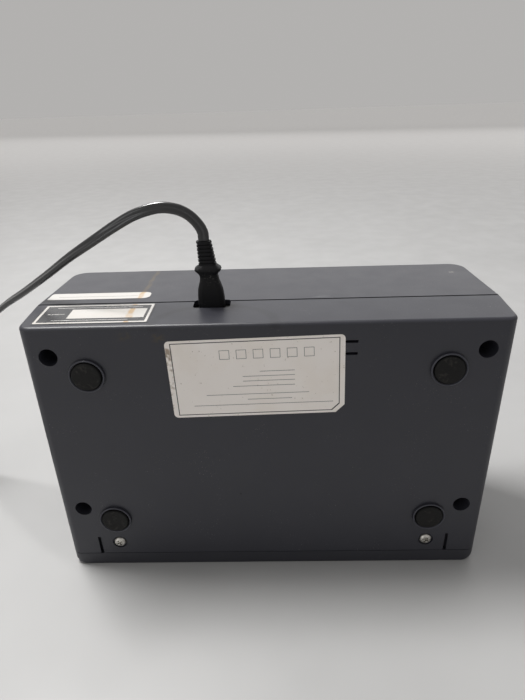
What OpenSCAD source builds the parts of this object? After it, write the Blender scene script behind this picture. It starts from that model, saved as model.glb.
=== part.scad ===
// Air compression therapy pump with its mains cord, standing on its front rim.
// X runs across the housing, Y from the underside to the top cover, and Z up from the rim to the rear face.

/* [Housing] */
// Width of the housing at the parting line
case_w = 280; // [270:1:320]
// Depth from the front rim to the rear face
case_d = 183; // [181:1:230]
// Height of the base shell, underside to parting line
base_h = 33; // [31:0.5:45]
// Height of the top cover, parting line to top face
cover_h = 69; // [62:1:90]
// Thickness of the moulded walls
wall = 3; // [2.4:0.1:3.4]
// How far the base's sides and rear lean in over its height
base_draft = 1.2; // [0.5:0.1:3]
// How far the cover's sides and rear lean in over its height
cover_draft = 1.5; // [0.5:0.1:3]
// Rounding of the base's long edges
base_edge_r = 6; // [3.2:0.1:7]
// Rounding of the cover's long edges
cover_edge_r = 11; // [7:0.5:15]
// Rounding of the rear edges
rear_edge_r = 2; // [1:0.1:2.6]
// Dark groove that shows between the two shells
parting_groove = 1.5; // [0.6:0.1:2]
// Gap between the shells and the bezel
groove = 0.8; // [0.4:0.1:1.2]
// Width of the flat ventilation slots in the underside
vent_slot_w = 1.7; // [1:0.1:2.5]
// Distance between the two rows of ventilation slots
vent_pitch = 7.5; // [5:0.5:10]
// Width of the whole row of ventilation slots
vent_row_w = 103.3; // [60:1:120]

/* [Front] */
// Depth of the front bezel that shows on the sides
bezel_d = 10.2; // [8.5:0.1:12]
// Rounding of the bezel's front corners
bezel_corner_r = 5; // [4:0.5:8]
// Thickness of the bezel's inner sleeve
sleeve_t = 2.6; // [2.2:0.1:3.2]
// How far the control panel lies behind the rim
recess_d = 13; // [12.5:0.5:15]
// Thickness of the control panel
fascia_t = 2.5; // [2:0.1:3]
// How far the hose bay is sunk behind the panel
bay_depth = 14; // [13:0.5:16]

/* [Controls] */
// Outer radius of the pressure knob's skirt
knob_r = 18; // [15:0.5:20]
// Height of the pressure knob
knob_h = 9.5; // [8:0.5:10.5]
// Angle that the pressure knob turns through
knob_turn = 270; // [180:10:300]
// Outer radius of the gauge's flange
gauge_r = 29; // [27:0.5:31]
// Travel of a push button
button_travel = 2; // [1:0.1:2.2]
// Half the angle that the power rocker tips through
rocker_tilt = 8; // [5:1:9]

/* [Air] */
// Distance between neighbouring hose nozzles
nozzle_pitch = 22; // [20:0.5:24]
// Radius of a nozzle's barrel
nozzle_r = 4; // [3.4:0.1:4.4]
// Radius of a nozzle's bore
nozzle_bore_r = 2; // [1.2:0.1:2.1]
// Length of a nozzle in front of its collar
nozzle_len = 20; // [14:0.5:21]
// Outer radius of the inner hoses
hose_r = 4.2; // [3.6:0.1:4.6]
// Radius of the stubs that the inner hoses push onto
stub_r = 2.5; // [2:0.1:2.9]
// How far the compressor's armature slides either way
stroke = 1.5; // [0.5:0.1:2]

/* [Feet and screws] */
// Radius of the rubber feet
foot_r = 8.9; // [8:0.1:10.5]
// How far the feet stand proud of the underside
foot_proud = 2.5; // [1.5:0.1:4]
// Distance of the feet from the side face
foot_inset = 36.2; // [34:0.2:42]
// Radius of the deep case screw wells
well_r = 5.45; // [4.6:0.05:6]
// Depth of the case screw wells
well_depth = 22; // [16:0.5:24]
// Distance of the case screws from the side face
well_inset = 15.85; // [14.5:0.05:18]

/* [Cord] */
// Width of the flat two-core cord
cord_w = 6.4; // [5:0.1:6.6]
// Thickness of the flat two-core cord
cord_t = 3.4; // [2.6:0.1:3.5]
// Outermost radius of the put-away coil, at the cord's middle
coil_r = 40.5; // [38:0.5:44]
// Turns in each of the coil's two layers
coil_turns = 3; // [2:1:3]
// Sideways distance between neighbouring turns
coil_pitch = 3.9; // [3.9:0.1:4.4]
// Clear height between the coil's two layers
coil_layer_gap = 0.6; // [0.5:0.1:1]

/* [Hidden] */

// Clearances
fit = 0.2;       // between pieces that drop into each other
running = 0.05;  // around shafts and pins that turn
touch = 0.1;     // between pieces that lie side by side
eps = 0.01;      // overlap of a cut past the face that it opens

// Fineness of round forms
$fn = 48;
arc_n = 8;
fillet_n = 4;

charcoal = "#43444b";
charcoal_dark = "#35363b";
rubber_black = "#1c1c1d";
cord_black = "#151517";
zinc = "#b9bab6";
board_green = "#2f6b45";
steel = "#9a9da2";
clear_hose = "#c9cdc8";
nylon = "#e6e4dc";

// Housing
half_w = case_w / 2;
floor_y = wall - base_h;
ceiling_y = cover_h - wall;
rear_z = case_d - wall;
shell_z = bezel_d + groove / 2;
parting_y = (foot_proud + base_h - cover_h) / 2;

// Screw wells and feet, by their distance from the rim and from the rear face
well_x = half_w - well_inset;
well_zs = [bezel_d + 40.7, case_d - 19.7];
column_r = well_r + 2.6;
case_screw_r = 1.9;
case_screw_len = 27;
case_head_r = 4;
foot_x = half_w - foot_inset;
foot_zs = [bezel_d + 31.6, case_d - 31.7];
foot_gap = 0.5;
foot_ring_t = 1.2;
foot_ring_proud = 1.4;
foot_stud_r = 2.4;

// Bezel, its sleeve and the two screws that hold it
sleeve_in = wall + 0.4;
rim_in = sleeve_in + sleeve_t;
panel_in = rim_in - 1.4;
panel_back = recess_d + fascia_t;
sleeve_end = panel_back + 10.5;
tab_x = half_w - 35.8;
tab_z = bezel_d + 10.3;
tab_screw_r = 1.7;
tab_head_r = 4;
slit_x = half_w - 22.2;
slit_w = 2.2;
slit_end = bezel_d + 15.2;

// Controls on the panel, by their distance from the side that they are nearer to
knob_at = [half_w - 112, 22];
gauge_at = [half_w - 50, 22];
rocker_at = [36 - half_w, 36];
button_at = [[100 - half_w, 36], [76 - half_w, 36]];
button_r = 6;
button_proud = 3;
button_flange_r = 8;
button_flange_t = 1.3;
spring_wire_r = 0.5;
spring_r = 4.4;
spring_turns = 4;
stem_r = 3;
board_front = panel_back + 9.5;
board_t = 1.6;
button_board_box = [[button_at[1].x - 16, 24], [button_at[0].x + 16, 56]];
lamp_y = 50;
lamp_r = 2.5;

// Gauge, by depths behind its flange
gauge_can_r = gauge_r - 3.5;
gauge_front = recess_d - 3.5;
gauge_lens_z = gauge_front + 1.2;
gauge_lens_t = 1.2;
gauge_floor = recess_d + 7.5;
gauge_back = recess_d + 23;
dial_t = 0.8;
spindle_r = 1;

// Rocker switch
rocker_w = 14.2;
rocker_half = 9.9;
rocker_pivot_z = recess_d + 3;
rocker_pin_r = 1.5;
rocker_back = rocker_pivot_z + 12;
rocker_pocket = [14.8, 21.8];

// Hose bay and its nozzles
bay_at = [66 - half_w, -5];
bay_size = [92, 30];
bay_wall = 2;
bay_back = recess_d + bay_depth;
nozzle_xs = [for (i = [0:3]) bay_at.x + (1.5 - i) * nozzle_pitch];
collar_r = 6.5;
collar_t = 2;
thread_r = 5;
nut_r = 8;
nut_t = 3;
nozzle_tail_z = bay_back + bay_wall + nut_t;

// Mains inlet in the rear face
notch_x = [-42.9, -20.8];
notch_y = [-10, 2];
inlet_at = [-31.85, -4];
inlet_size = [26, 17, 22];
inlet_nose = [15.6, 8];
nose_len = 13;
inlet_pin_r = 1.2;
inlet_pin_gap = 8.6;
inlet_mouth = rear_z - 1;
inlet_back = inlet_mouth - inlet_size.z;
inlet_tab_len = 6;
waist_z = 17;

// Power board
board_y = floor_y + 6;
board_x = [30 - half_w, inlet_at.x - inlet_size.x / 2 - 7.15];
board_z = [case_d - 45, case_d - 9];
board_post_r = 3.5;
board_post_in = 4;
fuse_r = 2.6;
fuse_at = [board_x[0] + 22, board_y + board_t + 4.6, case_d - 15];

// Rotary valve and its gear motor
valve_at = [bay_at.x, case_d - 81];
motor_r = 24;
motor_h = 18;
valve_r = 28;
valve_y = floor_y + motor_h;
valve_h = 18;
valve_floor = 4;
rotor_r = 22.8;
rotor_h = 6;
rotor_shaft_r = 3;
rail_z = valve_at.y - 32;
rail_pitch = 14;
cap_t = 3.5;
stub_len = 8;

// Linear compressor: two heads on a case, with the armature between two coils
comp_size = [92, 52, 76];
comp_wall = 3;
comp_y = floor_y + 8;
comp_axis_y = comp_y + comp_size.y / 2;
comp_wall_gap = 5.7;
diaphragm_t = 1.2;
head_r = comp_size.y / 2 - 1;
head_t = 12;
head_port_x = comp_size.x / 2 + diaphragm_t + head_t / 2;
plate_r = head_r - 11;
rod_r = 4;
bush_len = 5;
mount_r = 7;
mount_x = comp_size.x / 2 - 26;
mount_z = comp_size.z / 2 - 10;

// Regulator behind the knob
reg_r = 17;
reg_front = panel_back + 2.2;
reg_back = reg_front + 22.5;
reg_stub = 8;

// The compressor stands by the right wall, midway between the regulator and the rear wall
comp_at = [half_w - wall - comp_wall_gap - head_port_x - touch - head_t / 2, (reg_back + rear_z) / 2 - touch];
comp_front = comp_at.y - comp_size.z / 2;

// ---------------------------------------------------------------- helpers

function unit(v) = v / norm(v);

function arc(c, r, a0, a1, n) = [for (i = [0:n]) let (a = a0 + (a1 - a0) * i / n)
    [c.x + r * cos(a), c.y + r * sin(a)]];

// Rounded rectangle about the origin, counter-clockwise
function slab(w, h, r, n = 4) = concat(
    arc([w / 2 - r, h / 2 - r], r, 0, 90, n), arc([r - w / 2, h / 2 - r], r, 90, 180, n),
    arc([r - w / 2, r - h / 2], r, 180, 270, n), arc([w / 2 - r, r - h / 2], r, 270, 360, n));

// Flat oval: two half circles joined by straight sides
function oval(w, t, n) = concat(arc([(w - t) / 2, 0], t / 2, -90, 90, n),
    arc([(t - w) / 2, 0], t / 2, 90, 270, n));

function raised(outline, z) = [for (p = outline) [p.x, p.y, z]];

function tangents(path) = [for (i = [0:len(path) - 1])
    unit(path[min(i + 1, len(path) - 1)] - path[max(i - 1, 0)])];

// One ring of a tube: its first axis lies as near to the hint as the tangent allows
function ring(p, t, hint, outline) = let (w = unit(hint - (hint * t) * t), n = cross(t, w))
    [for (q = outline) p + q.x * w + q.y * n];

function tube_rings(path, hints, outline) = let (t = tangents(path))
    [for (i = [0:len(path) - 1]) ring(path[i], t[i], hints[i], outline)];

// Smooth curve through the points, with straight first and last stretches
function between(p, i, u) =
    let (a = p[max(i - 1, 0)], b = p[i], c = p[i + 1], d = p[min(i + 2, len(p) - 1)])
    0.5 * (2 * b + (c - a) * u + (2 * a - 5 * b + 4 * c - d) * u * u + (3 * b - a - 3 * c + d) * u * u * u);
function smooth(p, steps) = let (last = len(p) - 1) concat([for (i = [0:last - 1], k = [0:steps - 1])
    (i == 0 || i == last - 1) ? p[i] + (p[i + 1] - p[i]) * k / steps : between(p, i, k / steps)], [p[last]]);

// Closed solid through rings of equally many points, each counter-clockwise about the way they advance
module loft(rings) {
    n = len(rings[0]);
    m = len(rings);
    polyhedron(points = [for (r = rings) each r], convexity = 6, faces = concat(
        [[for (i = [0:n - 1]) i]],
        [for (j = [0:m - 2], i = [0:n - 1]) let (k = (i + 1) % n)
            each [[j * n + i, (j + 1) * n + i, (j + 1) * n + k], [j * n + i, (j + 1) * n + k, j * n + k]]],
        [[for (i = [n - 1:-1:0]) (m - 1) * n + i]]));
}

// Cylinder along Y from y0 to y1
module rod_y(r, y0, y1) {
    translate([0, y0, 0]) rotate([-90, 0, 0]) cylinder(r = r, h = y1 - y0);
}

// Cylinder along X from x0 to x1
module rod_x(r, x0, x1) {
    translate([x0, 0, 0]) rotate([0, 90, 0]) cylinder(r = r, h = x1 - x0);
}

// Cylinder along Z from z0 to z1
module rod_z(r, z0, z1) {
    translate([0, 0, z0]) cylinder(r = r, h = z1 - z0);
}

// Box between two corners
module block(a, b) {
    translate(a) cube(b - a);
}

module at_wells() {
    for (s = [-1, 1], z = well_zs) translate([s * well_x, 0, z]) children();
}

module at_tabs() {
    for (s = [-1, 1]) translate([s * tab_x, 0, tab_z]) children();
}

// ---------------------------------------------------------------- housing outlines

// Half of the housing's section, from its right side over the face to its left side, starting at y0
function half_outline(hw, h, draft, r, y0) = let (c = hw - draft * (h - r) / h - r, s = hw - draft * y0 / h)
    concat([[s, y0]], arc([c, h - r], r, 0, 90, arc_n), arc([-c, h - r], r, 90, 180, arc_n), [[-s, y0]]);

function cover_outline(in_x, in_y, y0) =
    half_outline(half_w - in_x, cover_h - in_y, cover_draft, max(cover_edge_r - in_y, 1), y0);

function base_outline(in_x, in_y, y0) =
    [for (p = half_outline(half_w - in_x, base_h - in_y, base_draft, max(base_edge_r - in_y, 0.5), y0)) -p];

function whole_outline(in_x, in_y) = concat(cover_outline(in_x, in_y, eps), base_outline(in_x, in_y, eps));

// A half housing between two heights, with its rear edge rounded and its rear face leaning in
function rear_stations(z0, z1, r) = concat([[z0, 0, 0]],
    [for (k = [0:fillet_n]) let (a = 90 * k / fillet_n) [z1 - r * (1 - sin(a)), r * (1 - cos(a)), 1]]);

module cover_solid(inset, y0, z0, z1, r) {
    lean = cover_draft / cover_h;
    loft([for (s = rear_stations(z0, z1, r))
        [for (p = cover_outline(inset + s[1], inset + s[1], y0)) [p.x, p.y, s[0] - s[2] * lean * p.y]]]);
}

module base_solid(inset, y0, z0, z1, r) {
    lean = base_draft / base_h;
    loft([for (s = rear_stations(z0, z1, r))
        [for (p = base_outline(inset + s[1], inset + s[1], y0)) [p.x, p.y, s[0] + s[2] * lean * p.y]]]);
}

// Straight prism of the whole housing's outline at an inset, between two heights
module housing_prism(inset, z0, z1) {
    translate([0, 0, z0]) linear_extrude(z1 - z0) polygon(whole_outline(inset, inset));
}

// ---------------------------------------------------------------- casing

module vent_slots() {
    rib = 3;
    slot = (vent_row_w - 3 * rib) / 4;
    for (row = [0, 1], i = [0:3])
        translate([(i - 1.5) * (slot + rib), floor_y, case_d - 13.3 - row * vent_pitch])
            cube([slot, 4 * wall, vent_slot_w], center = true);
}

module inlet_notch() {
    size = [notch_x[1] - notch_x[0], notch_y[1] - notch_y[0]];
    translate([notch_x[0] + size.x / 2, notch_y[0] + size.y / 2, rear_z - 4])
        linear_extrude(case_d - rear_z + 5) polygon(slab(size.x, size.y, 2.5));
}

module inlet_cradle() {
    cheek = 2;
    for (z = [inlet_back + 3, inlet_mouth - 5])
        block([inlet_at.x - inlet_size.x / 2 - 4, floor_y - eps, z],
            [inlet_at.x + inlet_size.x / 2 + 4, inlet_at.y - inlet_size.y / 2 - touch, z + 2.5]);
    for (s = [-1, 1]) {
        x = inlet_at.x + s * (inlet_size.x / 2 + touch + cheek / 2);
        block([x - cheek / 2, floor_y - eps, inlet_back + 3],
            [x + cheek / 2, inlet_at.y, inlet_mouth - 2.5]);
    }
}

// Bars along the inside of the walls that reach into the cover, each with a foot in its wall
module base_lip() {
    lip_t = 1.5;
    lip_top = 2.6;
    lip_root = [-8, -4];
    corner_in = 1;
    in = wall + fit;
    z1 = rear_z - fit;
    for (s = [0, 1]) mirror([s, 0, 0]) {
        block([half_w - in - lip_t, lip_root[0], sleeve_end + 3], [half_w - in, lip_top, z1 - lip_t]);
        block([half_w - in - lip_t, lip_root[0], sleeve_end + 3],
            [half_w - wall + 0.5, lip_root[1], z1 - lip_t]);
    }
    for (span = [[in + corner_in - half_w, notch_x[0] - 3], [notch_x[1] + 3, half_w - in - corner_in]]) {
        block([span[0], lip_root[0], z1 - lip_t], [span[1], lip_top, z1]);
        block([span[0], lip_root[0], z1 - lip_t], [span[1], lip_root[1], rear_z + 0.5]);
    }
}

module base_shell() {
    color(charcoal) difference() {
        union() {
            difference() {
                base_solid(0, parting_groove / 2, shell_z, case_d, rear_edge_r);
                base_solid(wall, -1, shell_z - 1, rear_z, 1);
            }
            base_lip();
            inlet_cradle();
            at_wells() rod_y(column_r, floor_y - eps, 0);
            for (s = [-1, 1], z = foot_zs) translate([s * foot_x, 0, z])
                rod_y(foot_r + foot_gap + foot_ring_t, -base_h - foot_ring_proud, floor_y);
            for (x = [board_x[0] + board_post_in, board_x[1] - board_post_in],
                    z = [board_z[0] + board_post_in, board_z[1] - board_post_in])
                translate([x, 0, z]) rod_y(board_post_r, floor_y - eps, board_y);
            for (x = [-mount_x, mount_x], z = [-mount_z, mount_z])
                translate([comp_at.x + x, 0, comp_at.y + z]) rod_y(3, floor_y - eps, floor_y + 4);
        }
        at_wells() {
            rod_y(well_r, -base_h - 1, -base_h + well_depth);
            rod_y(case_screw_r + 0.3, -base_h, 1);
        }
        for (s = [-1, 1], z = foot_zs) translate([s * foot_x, 0, z]) {
            rod_y(foot_r + foot_gap, -base_h - foot_ring_proud - 1, -base_h + 1);
            rod_y(foot_stud_r + touch, -base_h, floor_y + 1);
        }
        at_tabs() {
            rod_y(tab_head_r + 1, -base_h - 1, -base_h + 1.2);
            rod_y(tab_screw_r + 0.3, -base_h, floor_y + 1);
        }
        for (s = [-1, 1])
            block([s * slit_x - slit_w / 2, -base_h - 1, shell_z - 1],
                [s * slit_x + slit_w / 2, floor_y + 1, slit_end]);
        for (x = [board_x[0] + board_post_in, board_x[1] - board_post_in],
                z = [board_z[0] + board_post_in, board_z[1] - board_post_in])
            translate([x, 0, z]) rod_y(1.2, floor_y + 1, board_y + 1);
        vent_slots();
        inlet_notch();
    }
}

module top_cover() {
    rib_t = 1.6;
    rib_h = 6;
    color(charcoal) difference() {
        union() {
            difference() {
                cover_solid(0, parting_groove / 2, shell_z, case_d, rear_edge_r);
                cover_solid(wall, -1, shell_z - 1, rear_z, 1);
            }
            at_wells() rod_y(column_r - 1, touch, ceiling_y + eps);
            for (x = [-96, -32, 32, 96])
                block([x - rib_t / 2, ceiling_y - rib_h, sleeve_end + 4],
                    [x + rib_t / 2, ceiling_y + eps, rear_z - 1]);
            block([inlet_at.x - 4, inlet_at.y + inlet_size.y / 2 + touch, inlet_back + 6],
                [inlet_at.x + 4, ceiling_y + eps, inlet_back + 9]);
        }
        at_wells() rod_y(case_screw_r + touch, -1, 20);
        inlet_notch();
    }
}

// Outer form of the bezel: straight sides that turn into the front corners
module bezel_solid() {
    edge = 1.2;
    n = 6;
    zs = [for (k = [0:n]) bezel_corner_r * (1 - cos(90 * k / n))];
    loft(concat([for (z = zs) let (
            in_x = bezel_corner_r - sqrt(pow(bezel_corner_r, 2) - pow(bezel_corner_r - z, 2)),
            in_y = z < edge ? edge - sqrt(edge * edge - pow(edge - z, 2)) : 0)
        raised(whole_outline(in_x, in_y), z)], [raised(whole_outline(0, 0), bezel_d)]));
}

module front_bezel() {
    lug_w = 12;
    lug_t = 1.4;
    boss_r = 4;
    boss_top = -base_h + rim_in + 3.5;
    color(charcoal_dark) difference() {
        union() {
            difference() {
                union() {
                    bezel_solid();
                    housing_prism(sleeve_in, bezel_d / 2, sleeve_end);
                }
                housing_prism(rim_in, -1, recess_d);
                housing_prism(panel_in, recess_d, sleeve_end + 1);
            }
            for (x = [-96, -32, 32, 96])
                block([x - lug_w / 2, cover_h - panel_in - lug_t, panel_back + touch],
                    [x + lug_w / 2, cover_h - panel_in + eps, panel_back + 2]);
            for (x = [-20, 60])
                block([x - lug_w / 2, -base_h + panel_in - eps, panel_back + touch],
                    [x + lug_w / 2, -base_h + panel_in + lug_t, panel_back + 2]);
            at_tabs() rod_y(boss_r, -base_h + sleeve_in + 0.5, boss_top);
        }
        at_tabs() rod_y(tab_screw_r + touch, -base_h, boss_top - 0.8);
    }
}

module bay_outline(grow) {
    translate(bay_at) polygon(slab(bay_size.x + 2 * grow, bay_size.y + 2 * grow, 3 + grow));
}

module fascia() {
    boss_r = 3;
    color("#d8d9d6") difference() {
        union() {
            housing_prism(panel_in + fit, recess_d, panel_back);
            translate([0, 0, recess_d]) linear_extrude(bay_depth + bay_wall) bay_outline(bay_wall);
            for (x = [button_board_box[0].x + 4, button_board_box[1].x - 4],
                    y = [button_board_box[0].y + 4, button_board_box[1].y - 4])
                translate([x, y, 0]) rod_z(boss_r, panel_back - eps, board_front);
        }
        translate([0, 0, recess_d - 1]) linear_extrude(bay_depth + 1) bay_outline(0);
        for (x = nozzle_xs) translate([x, bay_at.y, bay_back - 1]) rod_z(thread_r + fit, 0, bay_wall + 2);
        translate(knob_at) rod_z(5 + fit, recess_d - 1, panel_back + 1);
        translate(gauge_at) rod_z(gauge_can_r + fit, recess_d - 1, panel_back + 1);
        for (at = button_at) {
            translate(at) rod_z(button_r + fit, recess_d - 1, panel_back + 1);
            translate([at.x, lamp_y]) rod_z(lamp_r + touch, recess_d - 1, panel_back + 1);
        }
        translate([rocker_at.x, rocker_at.y, recess_d - 1]) linear_extrude(fascia_t + 2)
            square([20.8, 27.8], center = true);
    }
}

// ---------------------------------------------------------------- feet and screws

module foot(s, z) {
    edge = 1.2;
    top = base_h - 1 + touch;
    head = base_h + foot_proud;
    barb_y = base_h - wall;
    color(rubber_black) translate([s * foot_x, 0, z]) rotate([90, 0, 0]) rotate_extrude() polygon(concat(
        [[0, barb_y - 2.4], [foot_stud_r - 0.6, barb_y - 2.4], [foot_stud_r + 0.7, barb_y - touch],
            [foot_stud_r, barb_y - touch], [foot_stud_r, top], [foot_r, top]],
        arc([foot_r - edge, head - edge], edge, 0, 90, 4), [[0, head]]));
}

module foot_rear_left() { foot(-1, foot_zs[1]); }
module foot_rear_right() { foot(1, foot_zs[1]); }
module foot_front_left() { foot(-1, foot_zs[0]); }
module foot_front_right() { foot(1, foot_zs[0]); }

// Pan-head screw along +Y with a cross recess, its head's seat at the origin
module pan_screw(shank_r, head_r, head_h, len) {
    difference() {
        union() {
            rod_y(shank_r, -eps, len);
            translate([0, -head_h, 0]) rotate([-90, 0, 0]) rotate_extrude() polygon(concat(
                [[0, head_h], [0, 0]], arc([head_r - head_h, head_h], head_h, -90, 0, 5)));
        }
        for (a = [0, 90]) rotate([0, a, 0])
            block([-0.45, -head_h - 1, -0.55 * head_r], [0.45, -head_h + 1.1, 0.55 * head_r]);
    }
}

module case_screws() {
    color(zinc) at_wells() translate([0, well_depth - base_h - touch, 0])
        pan_screw(case_screw_r, case_head_r, 2.4, case_screw_len);
}

module bezel_screws() {
    color(zinc) for (s = [-1, 1]) translate([s * tab_x, 1.2 - base_h - touch, tab_z]) rotate([0, 25 * s, 0])
        pan_screw(tab_screw_r, tab_head_r, 1.9, rim_in + 1);
}

// ---------------------------------------------------------------- controls

module rocker_frame() {
    color(cord_black) translate([rocker_at.x, rocker_at.y, 0]) difference() {
        union() {
            translate([0, 0, recess_d - 1.5]) linear_extrude(1.5) polygon(slab(24, 31, 1.5));
            block([-10.2, -13.7, recess_d - eps], [10.2, 13.7, rocker_back]);
            for (y = [-8, 0, 8]) block([-3.1, y - 0.4, rocker_back - eps], [3.1, y + 0.4, rocker_back + 7]);
        }
        block([-rocker_pocket.x / 2, -rocker_pocket.y / 2, 0],
            [rocker_pocket.x / 2, rocker_pocket.y / 2, rocker_back - 3]);
        translate([0, 0, rocker_pivot_z]) rod_x(rocker_pin_r + running, -9.2, 9.2);
    }
}

module power_rocker() {
    dip = 2.6;
    proud = 6.4;
    dish = (rocker_half * rocker_half + dip * dip) / (2 * dip);
    half_angle = asin(rocker_half / dish);
    color("#8f1d1b") translate([rocker_at.x, rocker_at.y, rocker_pivot_z]) rotate([-rocker_tilt, 0, 0]) {
        rotate([90, 0, 90]) translate([0, 0, -rocker_w / 2]) linear_extrude(rocker_w) polygon(concat(
            arc([0, -proud + dip - dish], dish, 90 + half_angle, 90 - half_angle, 10),
            [[rocker_half, -1.5], [5, 5.5], [-5, 5.5], [-rocker_half, -1.5]]));
        rod_x(rocker_pin_r, -9, 9);
    }
}

module pressure_knob() {
    skirt = 2;
    flutes = 18;
    grip_r = knob_r - 5;
    back = recess_d - 0.6;
    front = recess_d - 0.6 - knob_h;
    function fluted(r, depth) = [for (i = [0:71]) let (a = 5 * i)
        (r + depth * cos(a * flutes)) * [cos(a), sin(a)]];
    color(rubber_black) translate(knob_at) difference() {
        union() {
            loft([raised(fluted(grip_r - 1.2, 0.4), front), raised(fluted(grip_r - 0.3, 0.45), front + 0.8),
                raised(fluted(grip_r + 0.6, 0.45), back - skirt),
                raised(fluted(knob_r - 0.8, 0), back - skirt), raised(fluted(knob_r, 0), back)]);
            rotate(-135) block([-0.9, 2, front - 0.6], [0.9, grip_r - 3, front + 1]);
        }
        rod_z(stem_r + running, front + 2.5, back + 1);
    }
}

module regulator_stem() {
    color(steel) translate(knob_at) rod_z(stem_r, recess_d - 0.6 - knob_h + 2.6, reg_front + 7);
}

module regulator_body() {
    color(nylon) translate(knob_at) difference() {
        union() {
            rod_z(5, recess_d - 0.2, reg_front + 1);
            rod_z(8, panel_back + touch, reg_front + 1);
            rod_z(reg_r - 3, reg_front, reg_front + 5);
            rod_z(reg_r, reg_front + 5, reg_front + 11);
            rod_z(reg_r - 2, reg_front + 11, reg_back);
            for (a = [0:60:300]) rotate(a) translate([reg_r - 1, 0, reg_front]) rod_z(1.5, 4.4, 11.6);
            for (x = [-reg_stub, reg_stub], y = [-reg_stub, reg_stub])
                translate([x, y, 0]) rod_z(stub_r, reg_back - eps, reg_back + stub_len);
        }
        rod_z(stem_r + running, 0, reg_front + 7.2);
        for (x = [-reg_stub, reg_stub], y = [-reg_stub, reg_stub])
            translate([x, y, 0]) rod_z(stub_r - 1, reg_back - 4, reg_back + stub_len + 1);
    }
}

module gauge_case() {
    color(cord_black) translate(gauge_at) difference() {
        rotate_extrude($fn = 72) polygon(concat([[0, gauge_back], [0, gauge_front]],
            arc([gauge_r - 1.5, gauge_front + 1.5], 1.5, -90, 0, 4),
            [[gauge_r, recess_d - touch], [gauge_can_r, recess_d - touch], [gauge_can_r, gauge_back]]));
        rod_z(gauge_can_r - 1.6, 0, gauge_floor);
        rod_z(gauge_can_r - 0.6, 0, gauge_lens_z + gauge_lens_t);
        rod_z(spindle_r + running, gauge_floor - 1, gauge_floor + 7.5);
    }
    color("#b08d4b") translate(gauge_at) difference() {
        rod_z(stub_r, gauge_back - 2, gauge_back + stub_len);
        rod_z(stub_r - 1, gauge_back + 1, gauge_back + stub_len + 1);
    }
}

module gauge_dial() {
    color("white") translate(gauge_at) difference() {
        rod_z(gauge_can_r - 1.8, gauge_floor - dial_t, gauge_floor);
        rod_z(spindle_r + 0.5, 0, gauge_floor + 1);
    }
}

module gauge_needle() {
    hub_z = gauge_floor - 5;
    tip = gauge_can_r - 7;
    color("#20201f") translate(gauge_at) {
        rod_z(3, hub_z, hub_z + 2);
        rod_z(spindle_r, hub_z, gauge_floor + 6.5);
        translate([0, 0, hub_z + 0.6]) linear_extrude(0.8) rotate(-45)
            polygon([[-7, -1.6], [-7, 1.6], [0, 1.3], [tip, 0.35], [tip, -0.35], [0, -1.3]]);
    }
}

module gauge_lens() {
    color([0.85, 0.9, 0.92, 0.35]) translate([gauge_at.x, gauge_at.y, gauge_lens_z])
        rod_z(gauge_can_r - 0.7, 0, gauge_lens_t);
}

module button(at) {
    front = recess_d - button_proud;
    edge = 0.8;
    flange = panel_back + 0.3;
    tip = board_front - button_travel - 1;
    color("#c9cac7") translate(at) rotate_extrude() polygon(concat([[0, tip], [0, front]],
        arc([button_r - edge, front + edge], edge, -90, 0, 4),
        [[button_r, flange], [button_flange_r, flange], [button_flange_r, flange + button_flange_t],
            [2.4, flange + button_flange_t], [2.4, tip]]));
}

module run_button() { button(button_at[0]); }
module hold_button() { button(button_at[1]); }

// Return spring: one wound wire from the button's flange to the board
module return_spring(at) {
    z0 = panel_back + 0.3 + button_flange_t + touch + spring_wire_r;
    z1 = board_front - touch - spring_wire_r;
    n = 8 * spring_turns;
    path = [for (i = [0:n]) let (a = 360 * spring_turns * i / n)
        [at.x + spring_r * cos(a), at.y + spring_r * sin(a), z0 + (z1 - z0) * i / n]];
    outline = [for (k = [0:5]) spring_wire_r * [cos(60 * k), sin(60 * k)]];
    color(steel) loft(tube_rings(path, [for (p = path) [0, 0, 1]], outline));
}

module run_spring() { return_spring(button_at[0]); }
module hold_spring() { return_spring(button_at[1]); }

module button_board() {
    a = button_board_box[0];
    b = button_board_box[1];
    back = board_front + board_t;
    color(board_green) block([a.x, a.y, board_front], [b.x, b.y, back]);
    color(cord_black) {
        for (at = button_at)
            block([at.x - 2, at.y - 2, board_front - 0.5], [at.x + 2, at.y + 2, board_front + eps]);
        block([a.x + 14, a.y + 2, back - eps], [a.x + 30, a.y + 9, back + 6]);
        block([b.x - 20, a.y + 12, back - eps], [b.x - 8, a.y + 20, back + 2]);
    }
}

module indicator_lamps() {
    color("#6fae5a") for (at = button_at) translate([at.x, lamp_y, 0])
        rotate_extrude($fn = 32) polygon(concat([[0, board_front - touch], [0, recess_d - 1]],
            arc([0, recess_d + lamp_r - 1], lamp_r, -90, 0, 5),
            [[lamp_r, panel_back + 3], [lamp_r - 1, board_front - touch]]));
}

// ---------------------------------------------------------------- air outlets

module nozzle(i) {
    tip = bay_back - collar_t - nozzle_len;
    color(nylon) translate([nozzle_xs[i - 1], bay_at.y, 0]) difference() {
        union() {
            rod_z(nozzle_r, tip + 2, bay_back);
            translate([0, 0, tip]) cylinder(r1 = nozzle_r - 0.8, r2 = nozzle_r, h = 2);
            rod_z(collar_r, bay_back - collar_t, bay_back);
            rod_z(thread_r, bay_back - eps, nozzle_tail_z);
            rod_z(stub_r, nozzle_tail_z - eps, nozzle_tail_z + stub_len);
        }
        rod_z(nozzle_bore_r, tip - 1, bay_back + 1);
        rod_z(min(nozzle_bore_r, stub_r - 0.8), bay_back, nozzle_tail_z + stub_len + 1);
    }
}

module nozzle_1() { nozzle(1); }
module nozzle_2() { nozzle(2); }
module nozzle_3() { nozzle(3); }
module nozzle_4() { nozzle(4); }

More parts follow.
